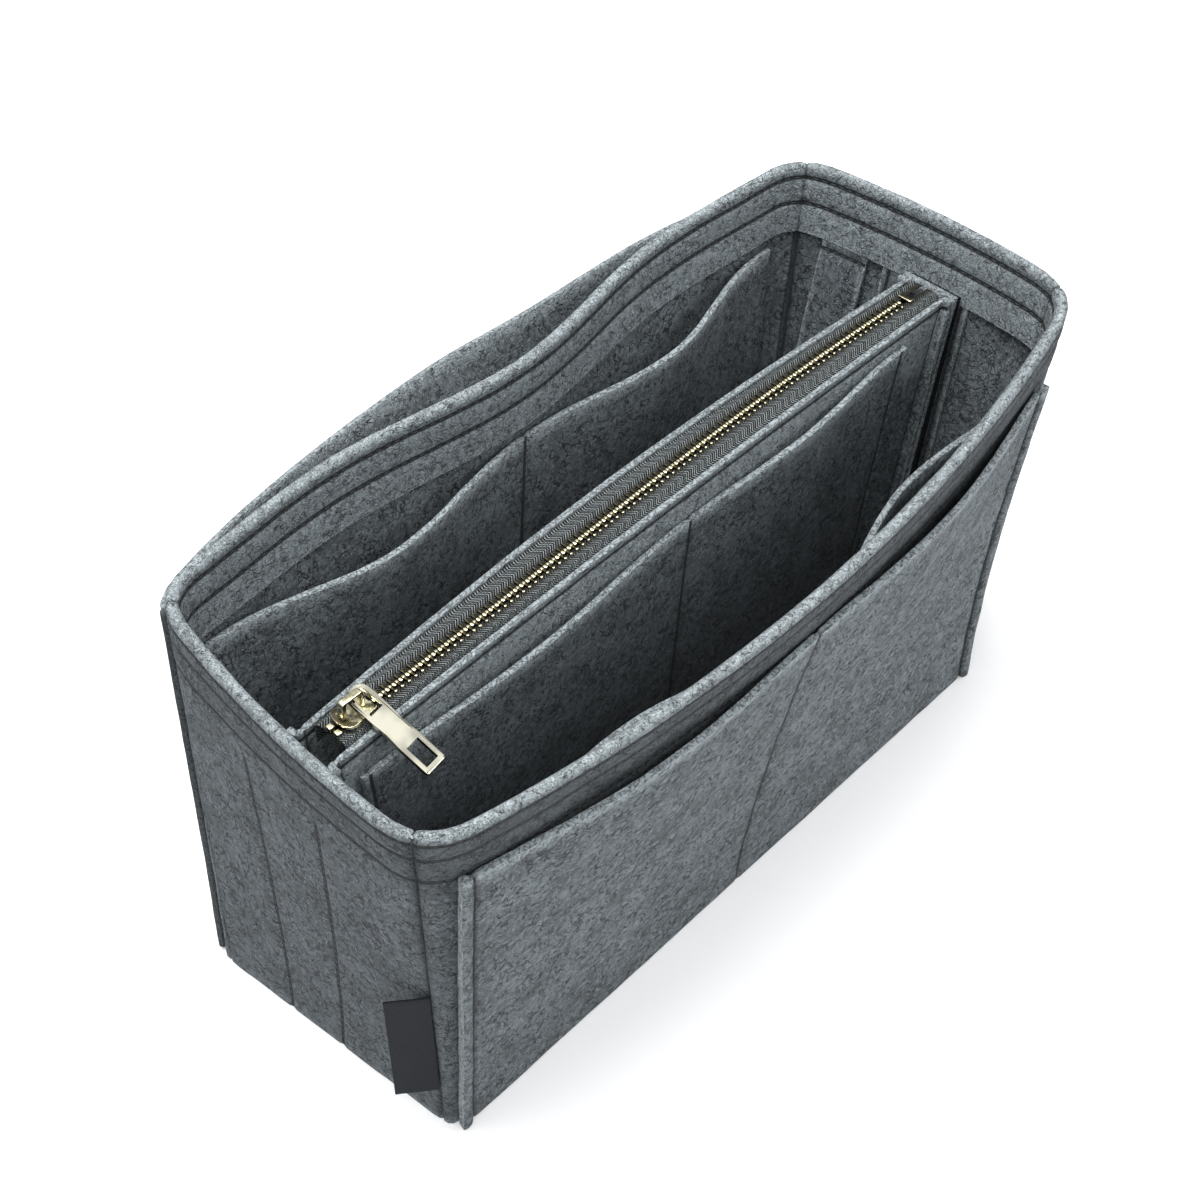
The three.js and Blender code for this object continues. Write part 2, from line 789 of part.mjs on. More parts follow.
// Plan of a slider plate: a round nose, widest at its shoulders, and a narrower square tail.
function plateShape() {
  const tail = sliderLength / 2;
  const shoulder = -tail + sliderNoseWidth / 3;
  const shape = new THREE.Shape();
  shape.moveTo(tail, -sliderTailWidth / 2);
  shape.lineTo(tail, sliderTailWidth / 2);
  shape.lineTo(shoulder, sliderNoseWidth / 2);
  shape.quadraticCurveTo(-tail, sliderNoseWidth / 2, -tail, 0);
  shape.quadraticCurveTo(-tail, -sliderNoseWidth / 2, shoulder, -sliderNoseWidth / 2);
  shape.closePath();
  return shape;
}

// The rolled edges that run the teeth along both sides of a plate.
function lipShape(sign) {
  const tail = sliderLength / 2;
  const shoulder = -tail + sliderNoseWidth / 3;
  const shape = new THREE.Shape();
  shape.moveTo(tail, (sign * sliderTailWidth) / 2);
  shape.lineTo(shoulder, (sign * sliderNoseWidth) / 2);
  shape.lineTo(shoulder, sign * (sliderNoseWidth / 2 - sliderLip));
  shape.lineTo(tail, sign * (sliderTailWidth / 2 - sliderLip));
  shape.closePath();
  return shape;
}

function diamondShape() {
  const centre = -sliderLength / 2 + diamondLength / 2 + sliderPlate;
  const shape = new THREE.Shape();
  shape.moveTo(centre - diamondLength / 2, 0);
  shape.lineTo(centre, -diamondWidth / 2);
  shape.lineTo(centre + diamondLength / 2, 0);
  shape.lineTo(centre, diamondWidth / 2);
  shape.closePath();
  return shape;
}

function sliderBody() {
  const gap = sliderChannel / 2;
  const slot = tapeThickness / 2 + seamGap;
  const bite = seamGap / 2;
  const pieces = [
    slab(plateShape(), gap, sliderPlate),
    slab(plateShape(), -gap - sliderPlate, sliderPlate),
    slab(diamondShape(), -gap - bite, sliderChannel + 2 * bite),
  ];
  [-1, 1].forEach((sign) => {
    pieces.push(slab(lipShape(sign), slot, gap - slot + bite));
    pieces.push(slab(lipShape(sign), -gap - bite, gap - slot + bite));
  });
  return makePart('slider_body', joined(pieces), brassMaterial());
}

// The bridge is an arch along the slider, with a thick front post and a thin rear one.
function sliderBridge() {
  const half = bridgeHoleLength / 2;
  const top = bridgeHole + bridgeTop;
  const front = -half - bridgeFrontPost;
  const rear = half + bridgeRearPost;
  const shape = new THREE.Shape();
  shape.moveTo(front, 0);
  shape.lineTo(-half, 0);
  shape.lineTo(-half, bridgeHole - bridgeRearPost);
  shape.quadraticCurveTo(-half, bridgeHole, -half + bridgeRearPost, bridgeHole);
  shape.lineTo(half - bridgeRearPost, bridgeHole);
  shape.quadraticCurveTo(half, bridgeHole, half, bridgeHole - bridgeRearPost);
  shape.lineTo(half, 0);
  shape.lineTo(rear, 0);
  shape.lineTo(rear, top - bridgeFrontPost);
  shape.quadraticCurveTo(rear, top, rear - bridgeFrontPost, top);
  shape.lineTo(front + bridgeFrontPost, top);
  shape.quadraticCurveTo(front, top, front, top - bridgeFrontPost);
  shape.closePath();
  const geometry = slab(shape, -bridgeWidth / 2, bridgeWidth);
  geometry.rotateX(Math.PI / 2);
  const bridge = makePart('slider_bridge', geometry, brassMaterial());
  bridge.position.z = sliderChannel / 2 + sliderPlate + seamGap;
  return bridge;
}

function windowPath(from, to, rounded) {
  const half = pullWidth / 2 - pullBar;
  const path = new THREE.Path();
  path.moveTo(-half, to);
  path.lineTo(half, to);
  if (rounded) {
    path.lineTo(half, from - half);
    path.quadraticCurveTo(half, from, 0, from);
    path.quadraticCurveTo(-half, from, -half, from - half);
  } else {
    path.lineTo(half, from);
    path.lineTo(-half, from);
  }
  path.closePath();
  return path;
}

// The pull: a flat plate with a looped top window, a slight waist and a square end window.
function pullTab() {
  const half = pullWidth / 2;
  const top = 0;
  const waistFrom = -pullTopBar - upperWindow;
  const windowEnd = -pullLength + pullEndBar;
  const waistTo = windowEnd + lowerWindow;
  const shape = new THREE.Shape();
  shape.moveTo(0, top);
  shape.quadraticCurveTo(-half, top, -half, -half);
  shape.lineTo(-half, waistFrom - pullBar);
  shape.lineTo(-half + pullWaist, (waistFrom + waistTo) / 2);
  shape.lineTo(-half, waistTo + pullBar);
  shape.lineTo(-half, -pullLength + pullEndCorner);
  shape.quadraticCurveTo(-half, -pullLength, -half + pullEndCorner, -pullLength);
  shape.lineTo(half - pullEndCorner, -pullLength);
  shape.quadraticCurveTo(half, -pullLength, half, -pullLength + pullEndCorner);
  shape.lineTo(half, waistTo + pullBar);
  shape.lineTo(half - pullWaist, (waistFrom + waistTo) / 2);
  shape.lineTo(half, waistFrom - pullBar);
  shape.lineTo(half, -half);
  shape.quadraticCurveTo(half, top, 0, top);
  shape.holes.push(windowPath(-pullTopBar, waistFrom, true));
  shape.holes.push(windowPath(waistTo, windowEnd, false));
  const geometry = slab(shape, -pullThickness / 2, pullThickness);
  const tab = makePart('pull_tab', geometry, pullMaterial());
  tab.position.set(half - pullBar / 2, pullAbovePivot, 0);
  const slope = new THREE.Group();
  slope.rotation.x = THREE.MathUtils.degToRad(pullSlopeDegrees);
  slope.add(tab);
  const yaw = new THREE.Group();
  yaw.rotation.z = THREE.MathUtils.degToRad(pullYawDegrees);
  yaw.position.z = sliderChannel / 2 + sliderPlate + seamGap + pullPivotRise;
  yaw.add(slope);
  return yaw;
}

function slider() {
  const group = new THREE.Group();
  group.position.set(sliderRestX, chainY(sliderRestX), zipHeight);
  group.add(sliderBody(), sliderBridge(), pullTab());
  return group;
}

function pouch() {
  const group = new THREE.Group();
  group.add(
    pouchPanel('pouch_front_panel', -1),
    pouchPanel('pouch_back_panel', 1),
    pouchGusset('pouch_left_gusset', leftSide),
    pouchGusset('pouch_right_gusset', rightSide),
    pouchBase(),
    slipPocket(),
    gripTape('left_hook_tape', leftSide, 1),
    gripTape('right_hook_tape', rightSide, 1),
    toothedTape('zip_tape_front', -1),
    toothedTape('zip_tape_back', 1),
    topStop('zip_top_stop_front', -1),
    topStop('zip_top_stop_back', 1),
    bottomStop(),
    slider(),
  );
  return group;
}

function organizer() {
  const group = new THREE.Group();
  group.add(
    basePanel(),
    wall('front_wall', frontSide, longCornerShares, longStationCount),
    wall('right_end_wall', rightSide, endCornerShares, endStationCount),
    wall('back_wall', backSide, longCornerShares, longStationCount),
    wall('left_end_wall', leftSide, endCornerShares, endStationCount),
    frontOuterPocket(),
    backOuterPocket(),
    innerPocket('front_inner_pocket', frontSide, frontInnerGape, frontInnerDrop),
    innerPocket('back_inner_pocket', backSide, backInnerGape, backInnerDrop),
    endStrip('left_end_strip', leftSide),
    endStrip('right_end_strip', rightSide),
    endStrap(),
    gripTape('left_loop_tape', leftSide, 0),
    gripTape('right_loop_tape', rightSide, 0),
    sideLabel(),
    pouch(),
  );
  return group;
}

const group = organizer();
export default group;
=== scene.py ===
"""Looks of a felt bag organizer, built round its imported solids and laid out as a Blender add-on."""

import math
from types import SimpleNamespace

import bpy
from bpy.props import FloatProperty, FloatVectorProperty, PointerProperty
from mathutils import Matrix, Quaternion, Vector, noise
from mathutils.bvhtree import BVHTree


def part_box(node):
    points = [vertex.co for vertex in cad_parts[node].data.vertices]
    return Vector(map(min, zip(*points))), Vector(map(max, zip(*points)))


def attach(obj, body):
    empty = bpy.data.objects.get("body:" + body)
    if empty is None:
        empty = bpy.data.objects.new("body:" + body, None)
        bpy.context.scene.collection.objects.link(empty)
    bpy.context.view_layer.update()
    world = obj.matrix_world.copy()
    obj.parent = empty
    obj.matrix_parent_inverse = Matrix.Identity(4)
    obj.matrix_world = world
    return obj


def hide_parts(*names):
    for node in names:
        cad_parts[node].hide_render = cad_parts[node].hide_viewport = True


bl_info = {
    "name": "Felt bag organizer",
    "version": (1, 0, 0),
    "blender": (4, 5, 0),
    "location": "3D View > Sidebar > Organizer",
    "description": "Felt walls, pockets, zip pouch and metal slider of a handbag insert",
    "category": "Add Mesh",
}

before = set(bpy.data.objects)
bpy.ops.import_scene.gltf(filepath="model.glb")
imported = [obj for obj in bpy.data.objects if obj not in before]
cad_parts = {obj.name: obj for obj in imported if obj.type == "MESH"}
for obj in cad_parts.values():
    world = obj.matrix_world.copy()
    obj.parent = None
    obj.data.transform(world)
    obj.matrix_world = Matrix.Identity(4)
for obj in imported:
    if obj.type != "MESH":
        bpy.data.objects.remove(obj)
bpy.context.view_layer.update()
LEAST_FLAT = 0.0101

FRONT, RIGHT, BACK, LEFT = 0, 1, 2, 3
ENDS = ((LEFT, "left"), (RIGHT, "right"))

# Heights of the stitching round the rim, outside and inside, and of the hem's lower edge.
OUTER_LINES = (0.1555, 0.168, 0.1760)
INNER_LINES = (0.1643, 0.1748)
HEM_EDGE = 0.1532
# Stitching down an end wall: y at the top and at the foot.
END_LINES = {LEFT: ((0.017, 0.022), (-0.022, -0.005))}
# How much painted shade each wall, and the band below its rim, is given.
WALL_SHADE = {FRONT: 0.34, LEFT: 0.32, RIGHT: 0.17, BACK: 0.0}
BAND_SHADE = {FRONT: 0.26, LEFT: 0.16, RIGHT: 0.0, BACK: 0.0}
# Distances between the points of a sheet's grid.
FINE, MEDIUM, COARSE = 0.006, 0.0062, 0.0065
# Distances of the extra points on both sides of a line of stitching.
SPREAD = (0.0006, 0.0013, 0.0024)
# Stitching ends this far below a mouth and above the foot, outside and inside.
BELOW_MOUTH, OUTER_FOOT, INNER_FOOT = 0.002, 0.004, 0.006
# Height of the pale, rubbed border of a mouth.
MOUTH = 0.0022
# Share of its thickness that a sheet is drawn with, so that neighbours keep apart.
PANEL_FILL, WALL_FILL, POCKET_FILL, FLAT_FILL = 0.92, 0.94, 0.95, 0.96
# How far felt ripples on a wall or a pocket, and where it is sewn down flat.
RIPPLE, FLAT_RIPPLE = 0.00025, 0.0001
# The way the side label points, in degrees from X.
LABEL_TURN = 141
# Where the lights stand, with their power and their width, and what they point at.
LIGHTS = (
    ("key", (0.75, -1.25, 1.15), 13.5, 1.0),
    ("top", (-0.2, 0.3, 1.9), 44, 1.3),
    ("left", (-1.05, -0.75, 1.75), 13, 1.0),
)
LIT_POINT = (0.0, 0.0, 0.1)
ROOM_LIGHT = 0.40
# The camera: its place, its lens in millimetres and its angles in degrees.
CAMERA_PLACE = (-0.45645, -0.39664, 0.70768)
LENS, SENSOR = 71.69, 36
CAMERA_TURN, CAMERA_RISE, CAMERA_ROLL = -48.25, 44.79, 0.5


def length(name, text, default):
    """A size in metres that a user may change."""
    return FloatProperty(name=name, description=text, default=default, unit="LENGTH", precision=4)


def pair(name, text, default):
    """Two sizes in metres, along X and along Y."""
    return FloatVectorProperty(
        name=name, description=text, default=default, size=2, unit="LENGTH", precision=4
    )


def colour(name, text, default):
    """A colour that a user may change."""
    return FloatVectorProperty(
        name=name, description=text, default=default, size=3, subtype="COLOR", min=0, max=1
    )


class OrganizerWalls(bpy.types.PropertyGroup):
    """Sizes of the base, the walls and their rim."""

    base_length: length("Base length", "Length of the foot", 0.300)
    base_width: length("Base width", "Width of the foot", 0.115)
    wall_height: length("Wall height", "Height of the rim", 0.180)
    felt: length("Felt", "Thickness of the felt", 0.0025)
    seam_gap: length("Seam gap", "Gap between sewn pieces", 0.0003)
    pocket_gap: length("Pocket gap", "Gap between a wall and its pocket", 0.0006)
    hem_height: length("Hem", "Depth of the felt turned in over the rim", 0.028)
    base_corner: length("Base corner", "Rounding of the foot's corners", 0.006)
    rim_corner: length("Rim corner", "Rounding of the rim's corners", 0.020)
    front_rim_drop: length("Rim drop", "Dip of the front rim", 0.003)
    seam_shift: length("Seam shift", "How far a long wall runs round a corner", 0.0045)
    front_left_flare: pair("Front left flare", "Lean of the near corner", (0.021, 0.0175))
    front_right_flare: pair("Front right flare", "Lean of the right front corner", (0.026, 0.0075))
    back_right_flare: pair("Back right flare", "Lean of the right back corner", (0.025, 0.0105))
    back_left_flare: pair("Back left flare", "Lean of the left back corner", (0.003, 0.0085))
    back_left_foot: length("Back left foot", "How far that corner's foot stands out", 0.004)
    front_bow: length("Front bow", "How far the front rim bows out", 0.022)
    right_bow: length("Right bow", "How far the right rim bows out", 0.0055)
    left_bow: length("Left bow", "How far the left rim bows out", 0.005)
    back_lobe: length("Back lobe", "Swell of the back rim", 0.005)
    back_pinch: length("Back pinch", "How far a seam draws the back rim in", 0.007)


class OrganizerPockets(bpy.types.PropertyGroup):
    """Sizes of the pockets, strips and tapes on the walls."""

    front_height: length("Front pocket", "Height of the outer front pocket", 0.158)
    front_gape: length("Front gape", "How far its bays stand off", 0.0032)
    front_left: pair("Front left margin", "Free wall beside it, at foot and mouth", (0.003, 0.011))
    front_right: pair("Front right margin", "Free wall beside it, at foot and mouth", (0.006, 0.026))
    ridge_width: length("Ridge", "Width of its folded ends", 0.0034)
    ridge_rise: length("Ridge rise", "Extra thickness of its folded ends", 0.0016)
    back_height: length("Back pocket", "Height of the outer back pocket", 0.168)
    back_gape: length("Back gape", "How far it stands off", 0.015)
    back_margins: pair("Back margins", "Free wall at its right and left ends", (0.016, 0.0015))
    inner_margin: length("Inner margin", "Free wall beside an inner pocket", 0.015)
    front_inner_drop: length("Front inner drop", "Its mouth below the hem", 0.0006)
    back_inner_drop: length("Back inner drop", "Its mouth below the hem", 0.0045)
    front_inner_gape: length("Front inner gape", "How far its bays stand off", 0.013)
    back_inner_gape: length("Back inner gape", "How far its bays stand off", 0.017)
    strip_back: length("Strip back", "Back edge of the end strips", 0.018)
    strip_front: length("Strip front", "Front edge of the end strips", 0.022)
    strap_near: length("Strap near", "Near edge of the loose strap", 0.025)
    strap_width: length("Strap width", "Width of the loose strap", 0.021)
    strap_stand_off: length("Strap gap", "How far the strap stands off", 0.0034)
    grip_width: length("Grip tape", "Width of the hook-and-loop tape", 0.023)
    grip_thickness: length("Grip pile", "Thickness of one tape with its pile", 0.0016)
    grip_bottom: length("Grip bottom", "Lower end of the tapes", 0.062)
    grip_top: length("Grip top", "Upper end of the tapes", 0.156)


class OrganizerPouch(bpy.types.PropertyGroup):
    """Sizes of the zip pouch and of the zip."""

    floor: length("Floor", "Height of the pouch's underside", 0.014)
    top: length("Top", "Height of its panels' upper edge", 0.1584)
    centre_y: length("Centre", "Middle of the pouch across the organizer", -0.007)
    bow: length("Bow", "How far the pouch bends to the back", 0.0045)
    bulge: length("Bulge", "Extra half width at its middle", 0.0025)
    top_half: length("Half top", "Half width at the top", 0.0098)
    floor_half: length("Half floor", "Half width at the floor", 0.0075)
    lip: length("Lip", "How far a raw seam stands out", 0.0024)
    slip_height: length("Slip pocket", "Height of the slip pocket's mouth", 0.146)
    slip_gape: length("Slip gape", "How far its bays stand off", 0.0038)
    slip_margins: pair("Slip margins", "Free panel at its left and right ends", (0.010, 0.026))
    zip_height: length("Zip height", "Height of the tapes' middle", 0.1592)
    zip_bow: length("Zip bow", "How far the chain bends to the back", 0.003)
    zip_skew: length("Zip skew", "How far it wanders in its right half", 0.0012)
    tape: length("Tape", "Thickness of the woven tapes", 0.0006)
    tape_edge: length("Tape edge", "Distance of a tape's edge from the middle", 0.00125)
    tape_fall: length("Tape fall", "Drop of the tape to its fold", 0.0016)
    tape_turn: length("Tape turn", "Tape turned down beside the panel", 0.007)
    tape_end_gap: length("Tape end gap", "Free length at the left end", 0.009)
    nose_width: length("Slider width", "Widest width of the slider", 0.0102)
    tooth_pitch: length("Tooth pitch", "Distance between teeth of one side", 0.00296)
    tooth_thickness: length("Tooth", "Thickness of a tooth along the zip", 0.00115)
    tooth_outer: length("Tooth root", "Outer end of a tooth", 0.003)
    tooth_reach: length("Tooth reach", "How far its head passes the middle", 0.0009)
    tooth_height: length("Tooth height", "Height of a tooth's root", 0.0026)
    tooth_tip: length("Tooth tip", "Height of a tooth's head", 0.0019)
    label_height: length("Label height", "Height of the side label", 0.062)
    label_width: length("Label width", "How far the side label stands out", 0.015)
    label_bottom: length("Label bottom", "Height of its lower end", 0.0235)


class OrganizerColours(bpy.types.PropertyGroup):
    """Colours of the materials."""

    felt: colour("Felt", "Mixed grey felt", (0.178, 0.206, 0.222))
    # Felt fibres also paint shade, along seams and on shaded pieces, and felt nap also paints
    # highlights.
    felt_dark: colour("Felt fibres", "Dark fibres in the felt", (0.026, 0.033, 0.038))
    felt_light: colour("Felt nap", "Pale fibres and cut edges", (0.360, 0.405, 0.420))
    thread: colour("Thread", "Sewing thread", (0.034, 0.040, 0.044))
    tape: colour("Zip tape", "Woven tape of the zip", (0.074, 0.081, 0.082))
    pile: colour("Pile", "Hook-and-loop tape", (0.012, 0.013, 0.015))
    label: colour("Label", "Woven label", (0.016, 0.018, 0.022))
    brass: colour("Brass", "Antique brass, rubbed bright", (0.90, 0.84, 0.58))
    # The patina also paints the pull's dark border and the shadow of the teeth on the tapes.
    brass_dark: colour("Patina", "Antique brass in its hollows", (0.055, 0.048, 0.028))
    gold: colour("Pale gold", "Plating of the pull", (0.88, 0.86, 0.71))


def values(group):
    """Plain copies of a group's sizes or colours."""
    return SimpleNamespace(**{key: getattr(group, key) for key in type(group).__annotations__})


def workbench():
    """The walls' surface, the sizes of the pockets and the pouch, and a new set of stitches."""
    scene = bpy.context.scene
    groups = (scene.organizer_walls, scene.organizer_pockets, scene.organizer_pouch)
    w, k, p = (values(group) for group in groups)
    return Walls(w), k, p, Thread()


def steps(start, end, count):
    """Count + 1 evenly spaced numbers."""
    return [start + (end - start) * i / count for i in range(count + 1)]


def hump(share):
    return 4 * share * (1 - share)


def two_bays(share, middle=0.5):
    """0 at both ends and at the middle seam, 1 half way between them."""
    part = share / middle if share < middle else (share - middle) / (1 - middle)
    return math.sin(math.pi * part) ** 2


def edge_of(share):
    """The distance to the nearer end, as a share."""
    return min(share, 1 - share)


def smooth(value, low, high):
    """A soft step from 0 at low to 1 at high."""
    t = min(max((value - low) / (high - low), 0), 1)
    return t * t * (3 - 2 * t)


class Walls:
    """The surface of the walls. A full turn round it is 4, from the near corner along the front."""

    LEAN_SHARE = 1.3
    TANGENT_SHARE = 0.001
    SEARCH_STEPS = 26

    def __init__(self, w):
        self.w = w
        self.corners = (
            (-1, -1, 0, w.front_left_flare),
            (1, -1, 0, w.front_right_flare),
            (1, 1, 0, w.back_right_flare),
            (-1, 1, w.back_left_foot, w.back_left_flare),
        )

    def lean(self, height):
        return (max(height, 0) / self.w.wall_height) ** self.LEAN_SHARE

    def corner(self, index, height):
        sign_x, sign_y, foot, flare = self.corners[index % 4]
        lean = self.lean(height)
        x = sign_x * (self.w.base_length / 2 + foot + (flare[0] - foot) * lean)
        y = sign_y * (self.w.base_width / 2 + flare[1] * lean)
        return Vector((x, y))

    def back_bow(self, share):
        pinch = math.sin(math.pi * share) ** 6
        return self.w.back_lobe * two_bays(share) - self.w.back_pinch * pinch

    def bow(self, side, share, height):
        lean = self.lean(height)
        if side == BACK:
            return self.back_bow(share) * lean
        widest = {FRONT: self.w.front_bow, RIGHT: self.w.right_bow, LEFT: self.w.left_bow}[side]
        return widest * hump(share) * lean

    def side_length(self, side, height):
        return (self.corner(side + 1, height) - self.corner(side, height)).length

    def side_point(self, side, share, height):
        start = self.corner(side, height)
        along = self.corner(side + 1, height) - start
        outward = Vector((along.y, -along.x)).normalized()
        return start + along * share + outward * self.bow(side % 4, share, height)

    def outline(self, turn, height):
        whole = math.floor(turn)
        side, share = whole % 4, turn - whole
        w = self.w
        radius = w.base_corner + (w.rim_corner - w.base_corner) * self.lean(height)
        round_share = radius / self.side_length(side, height)
        if share < round_share:
            before = (side + 3) % 4
            start = self.side_point(before, 1 - radius / self.side_length(before, height), height)
            end = self.side_point(side, round_share, height)
            return self.arc(start, self.corner(side, height), end, (1 + share / round_share) / 2)
        if share > 1 - round_share:
            after = (side + 1) % 4
            start = self.side_point(side, 1 - round_share, height)
            end = self.side_point(after, radius / self.side_length(after, height), height)
            part = (share - 1 + round_share) / round_share / 2
            return self.arc(start, self.corner(after, height), end, part)
        return self.side_point(side, share, height)

    @staticmethod
    def arc(start, control, end, share):
        rest = 1 - share
        return start * rest * rest + control * 2 * rest * share + end * share * share

    def rim_drop(self, turn):
        return self.w.front_rim_drop * hump(turn) if 0 < turn < 1 else 0

    def point(self, turn, height, depth):
        """A point at a depth inside the outer face; a negative depth lies outside it."""
        here = self.outline(turn, height)
        ahead = self.outline(turn + self.TANGENT_SHARE, height)
        tangent = (ahead - self.outline(turn - self.TANGENT_SHARE, height)).normalized()
        z = height * (1 - self.rim_drop(turn) / self.w.wall_height)
        return Vector((here.x - tangent.y * depth, here.y + tangent.x * depth, z))

    def end_point(self, side, y, height, depth):
        """The point of an end wall, at a depth inside its outer face, that lies at a given y."""
        low, high = side + 0.1, side + 0.9
        for _ in range(self.SEARCH_STEPS):
            middle = (low + high) / 2
            above = self.point(middle, height, depth).y > y
            if above == (side == RIGHT):
                high = middle
            else:
                low = middle
        return self.point((low + high) / 2, height, depth)

    def seam_turn(self, corner, height):
        end_side = RIGHT if corner in (1, 2) else LEFT
        shift = self.w.seam_shift / self.side_length(end_side, height)
        return corner + shift if corner in (1, 3) else corner - shift

    def turn_between(self, side, start_margin, end_margin, share, height):
        whole = self.side_length(side, height)
        return side + (start_margin + (whole - start_margin - end_margin) * share) / whole


class Pouch:
    """The surface of the pouch's long panels and the line of its zip."""

    def __init__(self, walls, k, p):
        self.walls, self.p = walls, p
        w = walls.w
        self.gusset_depth = 2 * w.felt + 2 * (k.grip_thickness + w.seam_gap) + w.seam_gap
        self.end_depth = self.gusset_depth + w.felt + 2 * w.seam_gap
        self.left_top = self.end_x(LEFT, p.centre_y, p.top)
        self.right_top = self.end_x(RIGHT, p.centre_y, p.top)
        self.middle = (self.left_top + self.right_top) / 2
        self.span = self.right_top - self.left_top
        self.ends = {}

    def end_x(self, side, y, height):
        return self.walls.end_point(side, y, height, self.end_depth).x

    def swell(self, x):
        return math.cos(math.pi * (x - self.middle) / self.span)

    def half(self, x, height):
        p = self.p
        lift = (height - p.floor) / (p.top - p.floor)
        return p.floor_half + (p.top_half - p.floor_half) * lift + p.bulge * self.swell(x) * lift

    def ends_at(self, sign, height):
        key = (sign, round(height, 6))
        if key not in self.ends:
            end_y = self.p.centre_y + sign * self.half(self.left_top, height)
            self.ends[key] = (self.end_x(LEFT, end_y, height), self.end_x(RIGHT, end_y, height))
        return self.ends[key]

    def point(self, sign, share, height, across):
        """Sign +1 is the back panel and -1 the front one, and across is outwards."""
        start, end = self.ends_at(sign, height)
        x = start + (end - start) * share
        y = self.p.centre_y + self.p.bow * self.swell(x) + sign * (self.half(x, height) + across)
        return Vector((x, y, height))

    def chain_y(self, x):
        wander = math.sin(2 * math.pi * (x - self.middle) / self.span)
        return self.p.centre_y + self.p.zip_bow * self.swell(x) + self.p.zip_skew * wander


def deselect():
    bpy.ops.object.select_all(action="DESELECT")


def choose(obj):
    """Makes a piece the only selected and the active one."""
    deselect()
    obj.select_set(True)
    bpy.context.view_layer.objects.active = obj


def named(obj, name):
    obj.name = name
    obj.data.name = name
    return obj


def apply_modifier(obj, name, kind, **settings):
    """Adds a modifier, sets it and applies it."""
    modifier = obj.modifiers.new(name, kind)
    for key, value in settings.items():
        setattr(modifier, key, value)
    choose(obj)
    bpy.ops.object.modifier_apply(modifier=name)


def point_values(obj, name, numbers):
    """Stores one number for each vertex under a name that a material can read."""
    attribute = obj.data.attributes.new(name, "FLOAT", "POINT")
    attribute.data.foreach_set("value", numbers)


def outward(obj, merge=0.0):
    """Turns the faces outwards, after joining vertices closer than merge."""
    choose(obj)
    bpy.ops.object.mode_set(mode="EDIT")
    bpy.ops.mesh.select_all(action="SELECT")
    if merge:
        bpy.ops.mesh.remove_doubles(threshold=merge)
    bpy.ops.mesh.normals_make_consistent(inside=False)
    bpy.ops.object.mode_set(mode="OBJECT")


def move_to(obj, numbers):
    """Moves the vertices to new places, given as one flat list."""
    obj.data.vertices.foreach_set("co", numbers)
    obj.data.update()


def linked(name, mesh):
    obj = bpy.data.objects.new(name, mesh)
    bpy.context.scene.collection.objects.link(obj)
    return obj


def taken_apart(obj):
    """The points and faces of a model, which is deleted."""
    points = [v.co.copy() for v in obj.data.vertices]
    faces = [tuple(f.vertices) for f in obj.data.polygons]
    bpy.ops.object.delete()
    return points, faces


def mesh_piece(name, points, copies, faces, material):
    """A piece that repeats a model's faces, from the points of all its copies."""
    mesh = bpy.data.meshes.new(name)
    size = len(points) // copies
    mesh.from_pydata(points, [], [
        tuple(i * size + corner for corner in face) for i in range(copies) for face in faces
    ])
    mesh.materials.append(look(material))
    obj = linked(name, mesh)
    outward(obj)
    return obj


def ray_tree(obj):
    """What rays can hit of a piece."""
    return BVHTree.FromPolygons(
        [v.co for v in obj.data.vertices], [f.vertices for f in obj.data.polygons]
    )


def smooth_by_angle(obj, degrees=50):
    choose(obj)
    bpy.ops.object.shade_smooth_by_angle(angle=math.radians(degrees))


class Number:
    """A shader socket that Python arithmetic joins up into Math nodes."""

    def __init__(self, shader, socket):
        self.shader, self.socket = shader, socket

    def __add__(self, other):
        return self.shader.math("ADD", self, other)

    def __sub__(self, other):
        return self.shader.math("SUBTRACT", self, other)

    def __rsub__(self, other):
        return self.shader.math("SUBTRACT", other, self)

    def __mul__(self, other):
        return self.shader.math("MULTIPLY", self, other)

    __radd__ = __add__
    __rmul__ = __mul__


